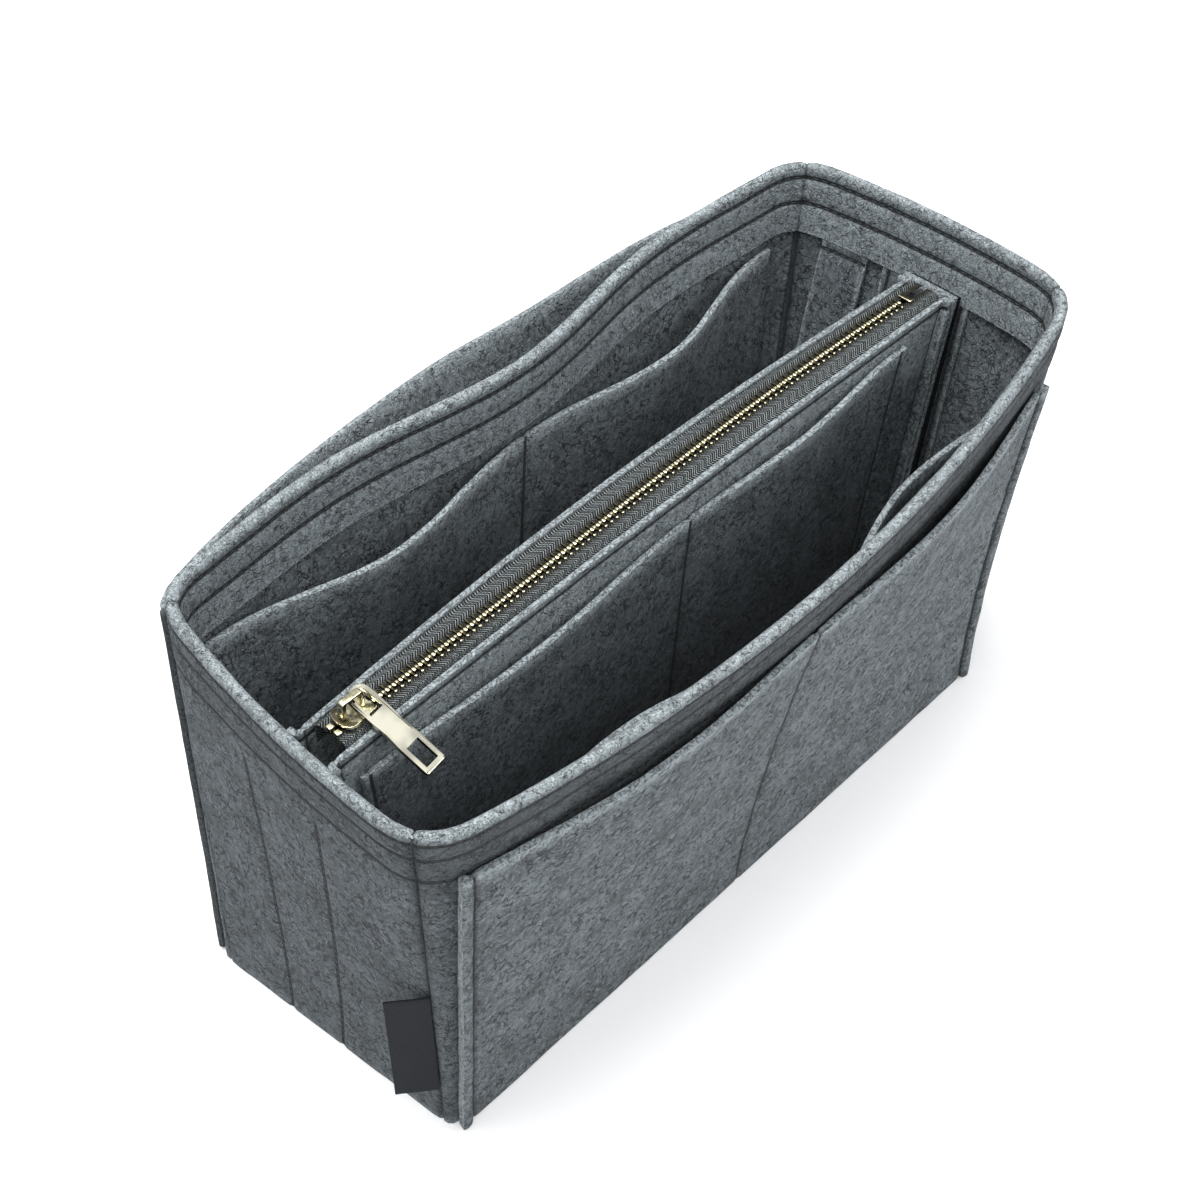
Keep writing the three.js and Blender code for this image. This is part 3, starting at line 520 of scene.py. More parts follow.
class Nodes:
    """The nodes of a material or of the world, and short ways of adding them."""

    def __init__(self, tree):
        self.tree = tree

    def join(self, value, target):
        if isinstance(value, Number):
            self.tree.links.new(value.socket, target)
        else:
            target.default_value = value

    def node(self, kind, settings=None, output=0, **inputs):
        """Adds a node of a type, sets it, joins its inputs by name and gives one output."""
        node = self.tree.nodes.new("ShaderNode" + kind)
        for key, value in (settings or {}).items():
            setattr(node, key, value)
        for key, value in inputs.items():
            self.join(value, node.inputs[key.replace("_", " ")])
        return Number(self, node.outputs[output])

    def math(self, operation, *values):
        node = self.tree.nodes.new("ShaderNodeMath")
        node.operation = operation
        for value, target in zip(values, node.inputs):
            self.join(value, target)
        return Number(self, node.outputs[0])

    def mix(self, share, first, second):
        """A colour between two colours."""
        node = self.tree.nodes.new("ShaderNodeMix")
        node.data_type = "RGBA"
        node.clamp_factor = True
        self.join(share, node.inputs[0])
        for value, index in ((first, 6), (second, 7)):
            self.join(value if isinstance(value, Number) else (*value, 1), node.inputs[index])
        return Number(self, node.outputs[2])

    def fade(self, value, low, high):
        """A soft step from 0 where a value is low to 1 where it is high."""
        settings = {"interpolation_type": "SMOOTHSTEP"}
        return self.node("MapRange", settings, Value=value, From_Min=low, From_Max=high)

    def place(self):
        return self.node("TexCoord", output="Object")

    def noise(self, place, scale, detail=2.0, roughness=0.5):
        return self.node("TexNoise", Vector=place, Scale=scale, Detail=detail, Roughness=roughness)

    def stored(self, name):
        return self.node("Attribute", {"attribute_name": name}, output=2)

    def strands(self, place, scale, width, detail=1.0):
        """Thin curling lines, where a noise crosses its middle."""
        distance = self.math("ABSOLUTE", self.noise(place, scale, detail, 0.4) - 0.5)
        return 1.0 - self.fade(distance, 0.0, width)


class Shader(Nodes):
    """The nodes of one material, built round a Principled surface."""

    def __init__(self, name, **constants):
        self.material = bpy.data.materials.new(name)
        self.material.use_nodes = True
        super().__init__(self.material.node_tree)
        self.surface = self.tree.nodes["Principled BSDF"]
        for key, value in constants.items():
            self.surface.inputs[key.replace("_", " ")].default_value = value

    def finish(self, paint, roughness=None, relief=None, depth=0.0003):
        """Joins the colour, the roughness and the relief to the surface."""
        self.join(paint, self.surface.inputs["Base Color"])
        if roughness is not None:
            self.join(roughness, self.surface.inputs["Roughness"])
        if relief is not None:
            normal = self.node("Bump", Height=relief, Distance=depth)
            self.join(normal, self.surface.inputs["Normal"])
        return self.material


def colours():
    return values(bpy.context.scene.organizer_colours)


def shaded(paint, share):
    """A colour made darker or lighter by a share."""
    return tuple(x * share for x in paint)


def felt_material(name):
    """Mixed grey felt with curling dark fibres and pale nap, painted shade where a piece stores it
    and along its seams, and folds paled partly by wear and partly by a painted highlight.
    """
    c = colours()
    shader = Shader(
        name, Roughness=0.95, Sheen_Weight=0.10, Sheen_Roughness=0.6, Specular_IOR_Level=0.15
    )
    place = shader.place()
    clouds = shader.noise(place, 65, 4, 0.6)
    mottle = shader.noise(place, 430, 4, 0.7)
    grain = shader.noise(place, 1900, 3, 0.7)
    patches = shader.fade(shader.noise(place, 130, 3, 0.6), 0.42, 0.58)
    tufts = shader.fade(shader.noise(place, 210, 2, 0.5), 0.44, 0.58)
    curls = shader.strands(place, 270, 0.042, 3) * patches
    hooks = shader.strands(place, 350, 0.056, 2) * tufts
    fine = shader.strands(place, 800, 0.070, 2) * shader.fade(mottle, 0.42, 0.58)
    nap = shader.strands(place, 1000, 0.045, 1) * shader.fade(clouds, 0.42, 0.58)
    tone = shader.fade(clouds * 0.26 + mottle * 0.46 + grain * 0.28, 0.42, 0.59)
    base = shader.mix(tone, shaded(c.felt, 0.46), shaded(c.felt, 1.62))
    paint = shader.mix(curls * 0.95 + hooks * 0.90 + fine * 0.52, base, shaded(c.felt_dark, 0.8))
    paint = shader.mix(nap * 0.42, paint, c.felt_light)
    # Painted shade, as much as each piece stores.
    paint = shader.mix(shader.stored("shade"), paint, shaded(c.felt_dark, 0.8))
    # Pale places, partly real wear and partly a painted highlight or painted light.
    rub = shader.stored("worn") * shader.fade(grain * 0.40 + mottle * 0.60, 0.38, 0.55)
    paint = shader.mix(rub, paint, shaded(c.felt_light, 1.45))
    stray = (curls * 0.3 + fine * 0.6) * shader.stored("worn")
    paint = shader.mix(stray, paint, shaded(c.felt_dark, 2.0))
    # Painted shade in the grooves of the stitching and along the seams.
    line = shader.fade(shader.stored("seam"), 0.45, 0.88)
    paint = shader.mix(line, paint, shaded(c.felt_dark, 0.45))
    relief = mottle * 0.6 + grain * 0.4 + nap * 0.25 - curls * 0.6 - hooks * 0.4 - fine * 0.25
    return shader.finish(paint, relief=relief, depth=0.0019)


def felt_edge_material(name):
    """The pale, loose edge of cut felt."""
    c = colours()
    shader = Shader(name, Roughness=0.97, Sheen_Weight=0.15, Specular_IOR_Level=0.12)
    place = shader.place()
    fray = shader.noise(place, 700, 4, 0.75)
    gaps = shader.strands(place, 480, 0.06, 2)
    paint = shader.mix(shader.fade(fray, 0.34, 0.60), shaded(c.felt, 0.95), c.felt_light)
    paint = shader.mix(gaps * 0.65, paint, c.felt_dark)
    # Painted shade, as stored on the piece.
    paint = shader.mix(shader.stored("shade") * 0.95, paint, shaded(c.felt_dark, 0.6))
    return shader.finish(paint, relief=fray - gaps * 0.6, depth=0.0009)


def thread_material(name):
    c = colours()
    shader = Shader(name, Roughness=0.55)
    twist = shader.noise(shader.place(), 1800, 1, 0.5)
    paint = shader.mix(twist, shaded(c.thread, 0.6), shaded(c.thread, 1.5))
    return shader.finish(paint, relief=twist, depth=0.0001)


def tape_material(name):
    """Herringbone weave, laid out in millimetres by the tape's own UV map."""
    c = colours()
    shader = Shader(name, Roughness=0.85, Specular_IOR_Level=0.08)
    weave = shader.node("UVMap", {"uv_map": "weave"})
    along = shader.node("SeparateXYZ", output="X", Vector=weave)
    across = shader.node("SeparateXYZ", output="Y", Vector=weave)
    bands = shader.math("PINGPONG", across, 2.2)
    ribs = shader.math("SINE", (along + bands) * 5.6)
    rows = shader.math("SINE", across * 11.0)
    lines = shader.fade(ribs + rows * 0.45, -0.1, 0.6)
    dark = shader.fade(shader.math("SINE", (along + bands) * 1.63), 0.3, 0.9)
    fuzz = shader.noise(shader.place(), 1500, 3, 0.7)
    paint = shader.mix(lines, shaded(c.tape, 0.08), shaded(c.tape, 3.8))
    paint = shader.mix(dark * 0.5, paint, shaded(c.tape, 0.15))
    paint = shader.mix(shader.fade(fuzz, 0.46, 0.60) * 0.45, paint, shaded(c.tape, 0.25))
    # Painted shadow of the teeth on the tape beside the chain, in the patina colour.
    near_teeth = 0.85 - shader.fade(across, 0.6, 4.4) * 0.85
    paint = shader.mix(near_teeth, paint, shaded(c.brass_dark, 0.22))
    return shader.finish(paint, relief=lines + fuzz * 0.3, depth=0.0005)


def pile_material(name):
    c = colours()
    shader = Shader(name, Roughness=0.95, Specular_IOR_Level=0.06)
    loops = shader.noise(shader.place(), 1300, 4, 0.8)
    paint = shader.mix(shader.fade(loops, 0.4, 0.65), shaded(c.pile, 0.5), shaded(c.pile, 3.2))
    return shader.finish(paint, relief=loops, depth=0.0012)


def label_material(name):
    c = colours()
    shader = Shader(name, Roughness=0.75, Specular_IOR_Level=0.12)
    place = shader.place()
    weft = shader.node("TexWave", {"bands_direction": "Z"}, Vector=place, Scale=430, Distortion=0.4)
    slub = shader.noise(place, 900, 2, 0.5)
    paint = shader.mix(weft * 0.6 + slub * 0.4, shaded(c.label, 0.5), shaded(c.label, 1.3))
    return shader.finish(paint, relief=Number(shader, weft.socket.node.outputs[1]), depth=0.00015)


def brass_material(name):
    """Antique brass: dark in its hollows, bright where it is rubbed."""
    c = colours()
    shader = Shader(name, Metallic=1.0, Specular_IOR_Level=0.5)
    place = shader.place()
    cloud = shader.noise(place, 420, 4, 0.65)
    specks = shader.noise(place, 2600, 2, 0.6)
    patchy = (cloud - 0.5) * 0.5 + (specks - 0.5) * 0.15
    bright = shader.fade(shader.stored("rub") + patchy, 0.36, 0.66)
    paint = shader.mix(bright, c.brass_dark, c.brass)
    roughness = 0.42 - bright * 0.24
    return shader.finish(paint, roughness, relief=specks + cloud, depth=0.00002)


def gold_material(name):
    """Pale polished plating with a faint brushed grain, patches of painted reflection and a painted
    dark border.
    """
    c = colours()
    shader = Shader(name, Metallic=1.0)
    place = shader.place()
    cloud = shader.noise(place, 75, 2, 0.5)
    specks = shader.noise(place, 3500, 2, 0.6)
    # Painted shade: a dark border at the sharp edges, standing in for the shaded side faces.
    worn = shader.fade(shader.stored("rub"), 0.31, 0.50)
    # Lighter and darker patches of gold stand in for the gradient of the reflection: painted
    # reflection.
    paint = shader.mix(shader.fade(cloud, 0.38, 0.62), shaded(c.gold, 0.60), shaded(c.gold, 1.05))
    paint = shader.mix(worn * 0.9, paint, shaded(c.brass_dark, 1.3))
    roughness = 0.09 + cloud * 0.07 + specks * 0.03
    return shader.finish(paint, roughness, relief=specks, depth=0.00001)


MATERIALS = {
    "felt": felt_material,
    "felt_edge": felt_edge_material,
    "thread": thread_material,
    "zip_tape": tape_material,
    "grip_tape": pile_material,
    "label_cloth": label_material,
    "antique_brass": brass_material,
    "pale_gold": gold_material,
}


def look(name):
    """The material of that name, made on first use."""
    own_name = "organizer_" + name
    return bpy.data.materials.get(own_name) or MATERIALS[name](own_name)


def finish_piece(obj, body, slot, *nodes):
    """Ties a piece to its body and hides the solids it stands for; the slot it is given is not used.
    """
    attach(obj, body)
    if nodes:
        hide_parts(*nodes)


def refined(start, end, gap, marks=()):
    """Numbers from start to end, close together round each mark."""
    count = max(1, round(abs(end - start) / gap))
    found = steps(start, end, count)
    low, high = min(start, end), max(start, end)
    for mark in marks:
        near = [mark] + [mark + side * step for step in SPREAD for side in (-1, 1)]
        found = [x for x in found if abs(x - mark) > SPREAD[-1] * 1.15 or x in (start, end)]
        found += [x for x in near if low < x < high]
    return sorted(set(round(x, 7) for x in found), reverse=end < start)


def cut_edge(beyond):
    """1 on a cut edge and 0 further in, from how far a point lies beyond that edge."""
    return smooth(beyond, -0.0012, -0.0003)


def valley(distance, width=0.0011):
    """1 on a line of stitching and 0 a few widths away from it."""
    return math.exp(-((distance / width) ** 2))


class Sheet:
    """A felt or woven piece: a grid laid on a surface, given its thickness, seams and soft edges.

    place(u, v) is a point of its middle; the seam, wear, shade and rise marks are numbers at u and v.
    Seam sinks stitching and paints shade along it, shade is painted shade, and the wear mark pales a
    piece where it is worn and where a highlight or light is painted.
    """

    RIPPLE_LENGTH = 0.016
    GROOVE = 0.0006
    ROUND = 0.0005
    WELD = 0.000004

    def __init__(self, name, columns, rows, place, **marks):
        self.name, self.columns, self.rows = name, columns, rows
        self.place, self.marks = place, marks

    def build(self, thickness, ripple=RIPPLE, materials=("felt", "felt_edge"), weave=None):
        deselect()
        across, up = len(self.columns) - 1, len(self.rows) - 1
        bpy.ops.mesh.primitive_grid_add(x_subdivisions=across, y_subdivisions=up, size=1)
        obj = named(bpy.context.object, self.name + "_cloth")
        for name in materials:
            obj.data.materials.append(look(name))
        cells = [
            (self.columns[round((v.co.x + 0.5) * across)], self.rows[round((v.co.y + 0.5) * up)])
            for v in obj.data.vertices
        ]
        points = [self.place(u, v) for u, v in cells]
        move_to(obj, [x for point in points for x in point])
        self.area = sum(face.area for face in obj.data.polygons)
        if ripple:
            self.rumple(obj, ripple)
        for name in ("seam", "worn", "shade", "rise"):
            mark = self.marks.get(name)
            point_values(obj, name, [mark(u, v) if mark else 0.0 for u, v in cells])
        if weave:
            obj.data.uv_layers[0].name = "weave"
            uv = [x for loop in obj.data.loops for x in weave(*cells[loop.vertex_index])]
            obj.data.uv_layers[0].data.foreach_set("uv", uv)
        apply_modifier(
            obj, "thickness", "SOLIDIFY", thickness=thickness, offset=0,
            use_even_offset=False, use_quality_normals=True,
            material_offset_rim=len(materials) - 1,
        )
        outward(obj, self.WELD)
        self.sink_seams(obj)
        apply_modifier(
            obj, "soft edge", "BEVEL", width=min(self.ROUND, thickness * 0.3), segments=2,
            limit_method="ANGLE", angle_limit=math.radians(55), use_clamp_overlap=True,
        )
        smooth_by_angle(obj)
        return obj

    def rumple(self, obj, ripple):
        """Moves the sheet a little in and out, as felt is never quite flat."""
        scale = 1 / self.RIPPLE_LENGTH
        moved = []
        for vertex in obj.data.vertices:
            wave = noise.noise(vertex.co * scale) + 0.4 * noise.noise(vertex.co * scale * 2.7)
            moved.extend(vertex.co + vertex.normal * ripple * wave)
        move_to(obj, moved)

    def sink_seams(self, obj):
        """Draws both faces in along stitching and raises folded borders."""
        seam = [value.value for value in obj.data.attributes["seam"].data]
        rise = [value.value for value in obj.data.attributes["rise"].data]
        moved = []
        for vertex, deep, high in zip(obj.data.vertices, seam, rise):
            moved.extend(vertex.co + vertex.normal * (high - self.GROOVE * deep))
        move_to(obj, moved)


def felt_piece(sheet, body, node, thickness, ripple=RIPPLE):
    """Builds a felt sheet and dresses it; how much felt it is cut from is worked out but not kept."""
    obj = sheet.build(thickness, ripple)
    finish_piece(obj, body, "felt", node)
    middle = sheet.rows[len(sheet.rows) // 2]
    line = [sheet.place(u, middle) for u in sheet.columns]
    width = sum((after - before).length for before, after in zip(line, line[1:]))
    max(sheet.area / width, LEAST_FLAT)
    return obj


class Thread:
    """Lines of stitching that lie on the faces of finished pieces."""

    STITCH = 0.0027
    GAP = 0.0010
    RADIUS = 0.00022
    HOVER = 0.0012

    def __init__(self):
        self.pairs = []

    def along(self, obj, path, ways):
        """Adds stitches on a piece along a path, with the way out of the face at each point."""
        tree = ray_tree(obj)
        lengths = [0.0]
        for a, b in zip(path, path[1:]):
            lengths.append(lengths[-1] + (b - a).length)
        ends, distance, index = [], self.GAP, 0
        while distance + self.STITCH < lengths[-1]:
            for at in (distance, distance + self.STITCH):
                while index < len(path) - 2 and lengths[index + 1] < at:
                    index += 1
                share = (at - lengths[index]) / max(lengths[index + 1] - lengths[index], 1e-9)
                way = ways[index].lerp(ways[index + 1], share).normalized()
                point = path[index].lerp(path[index + 1], share) + way * self.HOVER
                hit, _, _, _ = tree.ray_cast(point, -way, 4 * self.HOVER)
                ends.append((hit, way))
            distance += self.STITCH + self.GAP
        self.pairs += [pair for pair in zip(ends[::2], ends[1::2]) if pair[0][0] and pair[1][0]]

    def piece(self, name, body):
        """All the stitches as one piece of pinched threads."""
        deselect()
        bpy.ops.mesh.primitive_uv_sphere_add(segments=6, ring_count=4, radius=1)
        shape, faces = taken_apart(bpy.context.object)
        points = []
        for (start, way), (end, _) in self.pairs:
            along = (end - start).normalized()
            beside = way.cross(along).normalized()
            up = along.cross(beside)
            middle = (start + end) / 2 + way * self.RADIUS * 0.35
            reach = (end - start).length / 2
            points += [
                middle + along * c.z * reach + beside * c.x * self.RADIUS + up * c.y * self.RADIUS
                for c in shape
            ]
        obj = mesh_piece(name, points, len(self.pairs), faces, "thread")
        bpy.ops.object.shade_smooth()
        finish_piece(obj, body, "felt")


def fold_path(w):
    """Height and depth of the middle of a wall's felt: up, over the rim and down its hem."""
    half, top = w.felt / 2, w.wall_height - w.felt
    up = refined(0, top, COARSE, OUTER_LINES)
    path = [(height, half) for height in up]
    for angle in steps(0, math.pi, 6)[1:-1]:
        path.append((top + half * math.sin(angle), 2 * half - half * math.cos(angle)))
    hem = refined(top, w.wall_height - w.hem_height, COARSE, (*INNER_LINES, HEM_EDGE))
    return path + [(height, 3 * half) for height in hem]


def end_line_share(walls, side, line, height):
    """Share along an end wall of a slanting line of stitching, given as y at the top and foot."""
    y = line[1] + (line[0] - line[1]) * min(max(height / 0.148, 0), 1.1)
    start, end = walls.corner(side, height).y, walls.corner(side + 1, height).y
    return (y - start) / (end - start)


def wall_turn(walls, side, share, height):
    """The turn at a share of one wall's cut piece, from seam to seam."""
    w = walls.w
    end = side if side in (RIGHT, LEFT) else side + 1
    half = w.seam_gap / 2 / walls.side_length(end, height)
    start = walls.seam_turn(side, height) + half
    last = 4 + walls.seam_turn(0, height) if side == LEFT else walls.seam_turn(side + 1, height)
    finish = last - half
    return start + (finish - start) * share


def wall_piece(walls, side, node, thread):
    """One wall: felt seamed at its sides and turned in over the rim."""
    w = walls.w
    path = fold_path(w)
    span = walls.side_length(side, w.wall_height)
    lines = END_LINES.get(side, ())
    nominal = [end_line_share(walls, side, line, 0.08) for line in lines]
    shares = [x / span for x in refined(0, span, MEDIUM, (0, span, *[x * span for x in nominal]))]
    knots = [0, *nominal, 1]

    def actual(share, height):
        moved = [0, *[end_line_share(walls, side, line, height) for line in lines], 1]
        for low, high, new_low, new_high in zip(knots, knots[1:], moved, moved[1:]):
            if share <= high:
                return new_low + (new_high - new_low) * (share - low) / (high - low)
        return 1

    def place(share, row):
        height, depth = path[round(row)]
        edge = edge_of(share) * span
        curl = 0.0011 * valley(edge, 0.0017)
        turn = wall_turn(walls, side, actual(share, height), height)
        return walls.point(turn, height, depth + (curl if depth < w.felt else -curl))

    def seam(share, row):
        height, depth = path[round(row)]
        edge = edge_of(share) * span
        rows = OUTER_LINES if depth < w.felt else INNER_LINES
        found = [valley(height - line, 0.0014) for line in rows]
        if depth < w.felt and height < 0.150:
            found += [valley((share - x) * span, 0.0016) for x in nominal]
        return max(*found, valley(edge, 0.0014))

    def worn(share, row):
        # Pale crest of the rim, partly wear and partly a painted highlight; painted light over the
        # inside of the hem, with its cut edge paler still; paler at the foot and along the corner
        # seams near the top.
        height, depth = path[round(row)]
        crest = smooth(height, w.wall_height - 0.0030, w.wall_height - 0.0024)
        fold = valley(depth - w.felt, 0.0012) * crest
        if depth > w.felt:
            fold = max(fold, 0.38, 0.8 * smooth(-height, -HEM_EDGE, 0.001 - HEM_EDGE))
        foot = 0.35 * smooth(-height, -0.003, 0)
        edge = edge_of(share) * span
        return max(fold, foot, 0.45 * valley(edge, 0.0010) * smooth(height, 0.150, 0.178))

    def shade(share, row):
        # Painted shade: each wall's own amount outside, a painted shadow along its corner seams, and
        # a darker band below the rim.
        height, depth = path[round(row)]
        fading = 1 - 0.5 * smooth(height, 0.174, 0.179)
        dark = WALL_SHADE[side] + 0.8 * valley(edge_of(share) * span, 0.0024) * fading
        if height <= w.wall_height - 0.004:
            dark += BAND_SHADE[side] * smooth(height, 0.140, 0.162)
            dark -= WALL_SHADE[side] if depth > w.felt else 0
        return min(1, max(0, dark))

    sheet = Sheet(node, shares, steps(0, len(path) - 1, len(path) - 1), place,
                  seam=seam, worn=worn, shade=shade)
    obj = felt_piece(sheet, "organizer", node, w.felt * WALL_FILL)
    count = round(span / 0.004)
    for depth, way, rows in ((0, -1, OUTER_LINES), (2 * w.felt, 1, INNER_LINES)):
        for line in rows:
            turns = [wall_turn(walls, side, s, line) for s in steps(0.004, 0.996, count)]
            stitch_path(thread, obj, walls, [(t, line, depth) for t in turns], way)
    for line in lines:
        heights = steps(0.004, 0.150, 40)
        turns = [wall_turn(walls, side, end_line_share(walls, side, line, h), h) for h in heights]
        stitch_path(thread, obj, walls, [(t, h, 0) for t, h in zip(turns, heights)], -1)


def pocket_stitches(thread, obj, walls, side, margins, shares, top, depth_at, way):
    """Stitches up a pocket at shares of its length; way -1 is the outside."""
    foot = OUTER_FOOT if way < 0 else INNER_FOOT
    for share in shares:
        spots = []
        for height in steps(foot, top - BELOW_MOUTH, 50):
            turn = walls.turn_between(side, *margins(height), share, height)
            spots.append((turn, height, depth_at(share, height) + way * walls.w.felt / 2))
        stitch_path(thread, obj, walls, spots, way)


def stitch_path(thread, obj, walls, spots, way):
    """Stitches through spots given as turn, height and depth; way -1 is the outside."""
    path = [walls.point(*spot) for spot in spots]
    out = [
        (walls.point(turn, height, depth + way * 0.001) - point).normalized()
        for (turn, height, depth), point in zip(spots, path)
    ]
    thread.along(obj, path, out)


class OBJECT_OT_organizer_walls(bpy.types.Operator):
    """Adds the base and the four walls with their turned-in rim"""

    bl_idname = "object.organizer_walls"
    bl_label = "Walls"

    def execute(self, context):
        walls, _, _, thread = workbench()
        for side, node in enumerate(("front_wall", "right_end_wall", "back_wall", "left_end_wall")):
            wall_piece(walls, side, node, thread)
        thread.piece("rim_thread", "organizer")
        base_piece(walls)
        return {"FINISHED"}


def base_piece(walls):
    """The base: felt laid between the feet of the walls."""
    w = walls.w

    def place(u, v):
        inset = w.felt + w.seam_gap
        x, y = u * (w.base_length / 2 - inset), v * (w.base_width / 2 - inset)
        return Vector((x, y, w.felt / 2 + 0.0001))

    # Painted shade over the whole base.
    sheet = Sheet("base_panel", steps(-1, 1, 60), steps(-1, 1, 24), place,
                  shade=lambda u, v: 0.2)
    felt_piece(sheet, "organizer", "base_panel", w.felt * FLAT_FILL, FLAT_RIPPLE)


def pocket_on(walls, side, node, margins, heights, depth_at, **marks):
    """A pocket's sheet on a wall; margins(height) are its free lengths at both ends."""
    top = max(heights)

    def place(share, height):
        start, end = margins(height)
        turn = walls.turn_between(side, start, end, share, height)
        return walls.point(turn, height, depth_at(share, height))

    span = walls.side_length(side, top) - sum(margins(top))
    marked = [share * span for share in marks.pop("lines")]
    columns = [x / span for x in refined(0, span, FINE, marked)]
    return Sheet(node, columns, heights, place, **marks)


def bay_marks(span, top, base, fall=0.0, middle=0.5):
    """Marks of a pocket with two bays: its middle seam, its pale mouth and its shadows."""
    def seam(share, height):
        return valley((share - middle) * span) * smooth(height, 0, 0.002)

    def worn(share, height):
        return 0.9 * smooth(height, top - MOUTH, top - MOUTH / 3)

    def shade(share, height):
        # Painted shade: a base amount, more towards the foot by fall, and more beside the middle
        # seam.
        deep = 1 - smooth(height, 0.25 * top, 0.92 * top)
        return min(1, base + fall * deep + 0.25 * valley((share - middle) * span, 0.003))

    return {"seam": seam, "worn": worn, "shade": shade}


def front_pocket(walls, k, thread):
    """The outer front pocket: two bays between folded ends."""
    w = walls.w
    top = k.front_height
    ridge = k.ridge_width / w.base_length

    def slanted(ends, height):
        return ends[0] + (ends[1] - ends[0]) * height / top

    def margins(height):
        wave = 0.0005 * noise.noise(Vector((height * 110, 3, 0)))
        return slanted(k.front_left, height) + wave, slanted(k.front_right, height) - wave

    def folded(share):
        return max(0, 1 - (edge_of(share) / ridge) ** 4)

    def depth_at(share, height):
        gape = k.front_gape * two_bays(share) * (height / top) ** 2
        return -(w.pocket_gap + gape + w.felt / 2 + folded(share) * k.ridge_rise / 2)

    span = walls.side_length(FRONT, top) - sum(margins(top))
    marks = bay_marks(span, top, 0.12)
    bays = dict(marks)
    edge_line = ridge * 1.15

    def beside(share, width):
        return valley((edge_of(share) - edge_line) * span, width)

    # The folded ends get a painted highlight, a painted shadow lies beside their stitching, and the
    # painted shade lessens towards the right end.
    marks.update(
        seam=lambda u, v: max(bays["seam"](u, v), beside(u, 0.0012)),
        worn=lambda u, v: max(bays["worn"](u, v), 0.14 * folded(u)),
        shade=lambda u, v: max(0, bays["shade"](u, v) - 0.14 * u + 0.6 * beside(u, 0.0016)),
        rise=lambda u, v: folded(u) * k.ridge_rise / 2,
    )
    lines = (0.5, edge_line, 1 - edge_line, ridge * 0.5, 1 - ridge * 0.5, ridge, 1 - ridge)
    heights = refined(w.felt / 2, top, MEDIUM)
    sheet = pocket_on(walls, FRONT, "front_outer_pocket", margins, heights, depth_at,
                      lines=lines, **marks)
    obj = felt_piece(sheet, "organizer", "front_outer_pocket", w.felt * POCKET_FILL)
    pocket_stitches(thread, obj, walls, FRONT, margins, (0.5, edge_line, 1 - edge_line),
                    top, depth_at, -1)


def back_pocket(walls, k, thread):
    """The outer back pocket: one bay, whose mouth swells beyond the pinched rim."""
    w = walls.w
    top = k.back_height

    def margins(height):
        return k.back_margins

    def depth_at(share, height):
        span = 1 - abs(2 * share - 1) ** 3
        gape = k.back_gape * span + w.back_lobe * span - walls.back_bow(share)
        return -(w.pocket_gap + gape * (height / top) ** 2 + w.felt / 2)

    span = walls.side_length(BACK, top) - sum(k.back_margins)
    heights = refined(w.felt / 2, top, COARSE)
    edge = 0.004 / span
    # Painted light over the whole pocket, paler at its mouth; painted shade at its far left end.
    sheet = pocket_on(
        walls, BACK, "back_outer_pocket", margins, heights, depth_at,
        lines=(edge, 1 - edge),
        seam=lambda u, v: valley((edge_of(u) - edge) * span),
        worn=lambda u, v: max(0.22, 0.9 * smooth(v, top - MOUTH, top - 0.0007)),
        shade=lambda u, v: 0.9 * smooth(u, 1 - 1.5 * edge, 1 - 0.4 * edge),
    )
    obj = felt_piece(sheet, "organizer", "back_outer_pocket", w.felt * POCKET_FILL)
    pocket_stitches(thread, obj, walls, BACK, margins, (edge, 1 - edge), top, depth_at, -1)


def inner_pocket(walls, k, side, node, gape, drop, thread, base):
    """A pocket inside a long wall: two bays; base is how much painted shade it gets."""
    w = walls.w
    top = w.wall_height - w.hem_height - drop

    def depth_at(share, height):
        return w.felt + w.pocket_gap + gape * two_bays(share) * (height / top) ** 2 + w.felt / 2

    def margins(height):
        return k.inner_margin, k.inner_margin

    span = walls.side_length(side, top) - 2 * k.inner_margin
    marks = bay_marks(span, top, base, 0.22)
    heights = refined(w.felt + w.seam_gap, top, MEDIUM)
    sheet = pocket_on(walls, side, node, margins, heights, depth_at, lines=(0.5,), **marks)
    obj = felt_piece(sheet, "organizer", node, w.felt * POCKET_FILL)
    pocket_stitches(thread, obj, walls, side, margins, (0.5,), top, depth_at, 1)


class OBJECT_OT_organizer_pockets(bpy.types.Operator):
    """Adds the pockets outside and inside the long walls"""

    bl_idname = "object.organizer_pockets"
    bl_label = "Pockets"

    def execute(self, context):
        walls, k, _, thread = workbench()
        front_pocket(walls, k, thread)
        back_pocket(walls, k, thread)
        for side, node, gape, drop, base in (
            (FRONT, "front_inner_pocket", k.front_inner_gape, k.front_inner_drop, 0.10),
            (BACK, "back_inner_pocket", k.back_inner_gape, k.back_inner_drop, 0.0),
        ):
            inner_pocket(walls, k, side, node, gape, drop, thread, base)
        thread.piece("pocket_thread", "organizer")
        return {"FINISHED"}


def end_sheet(walls, node, side, span, heights, depth_at, **marks):
    """A narrow sheet on the inner side of an end wall, between two y positions."""
    def place(y, height):
        return walls.end_point(side, y, height, depth_at(height))

    return Sheet(node, span, heights, place, **marks)


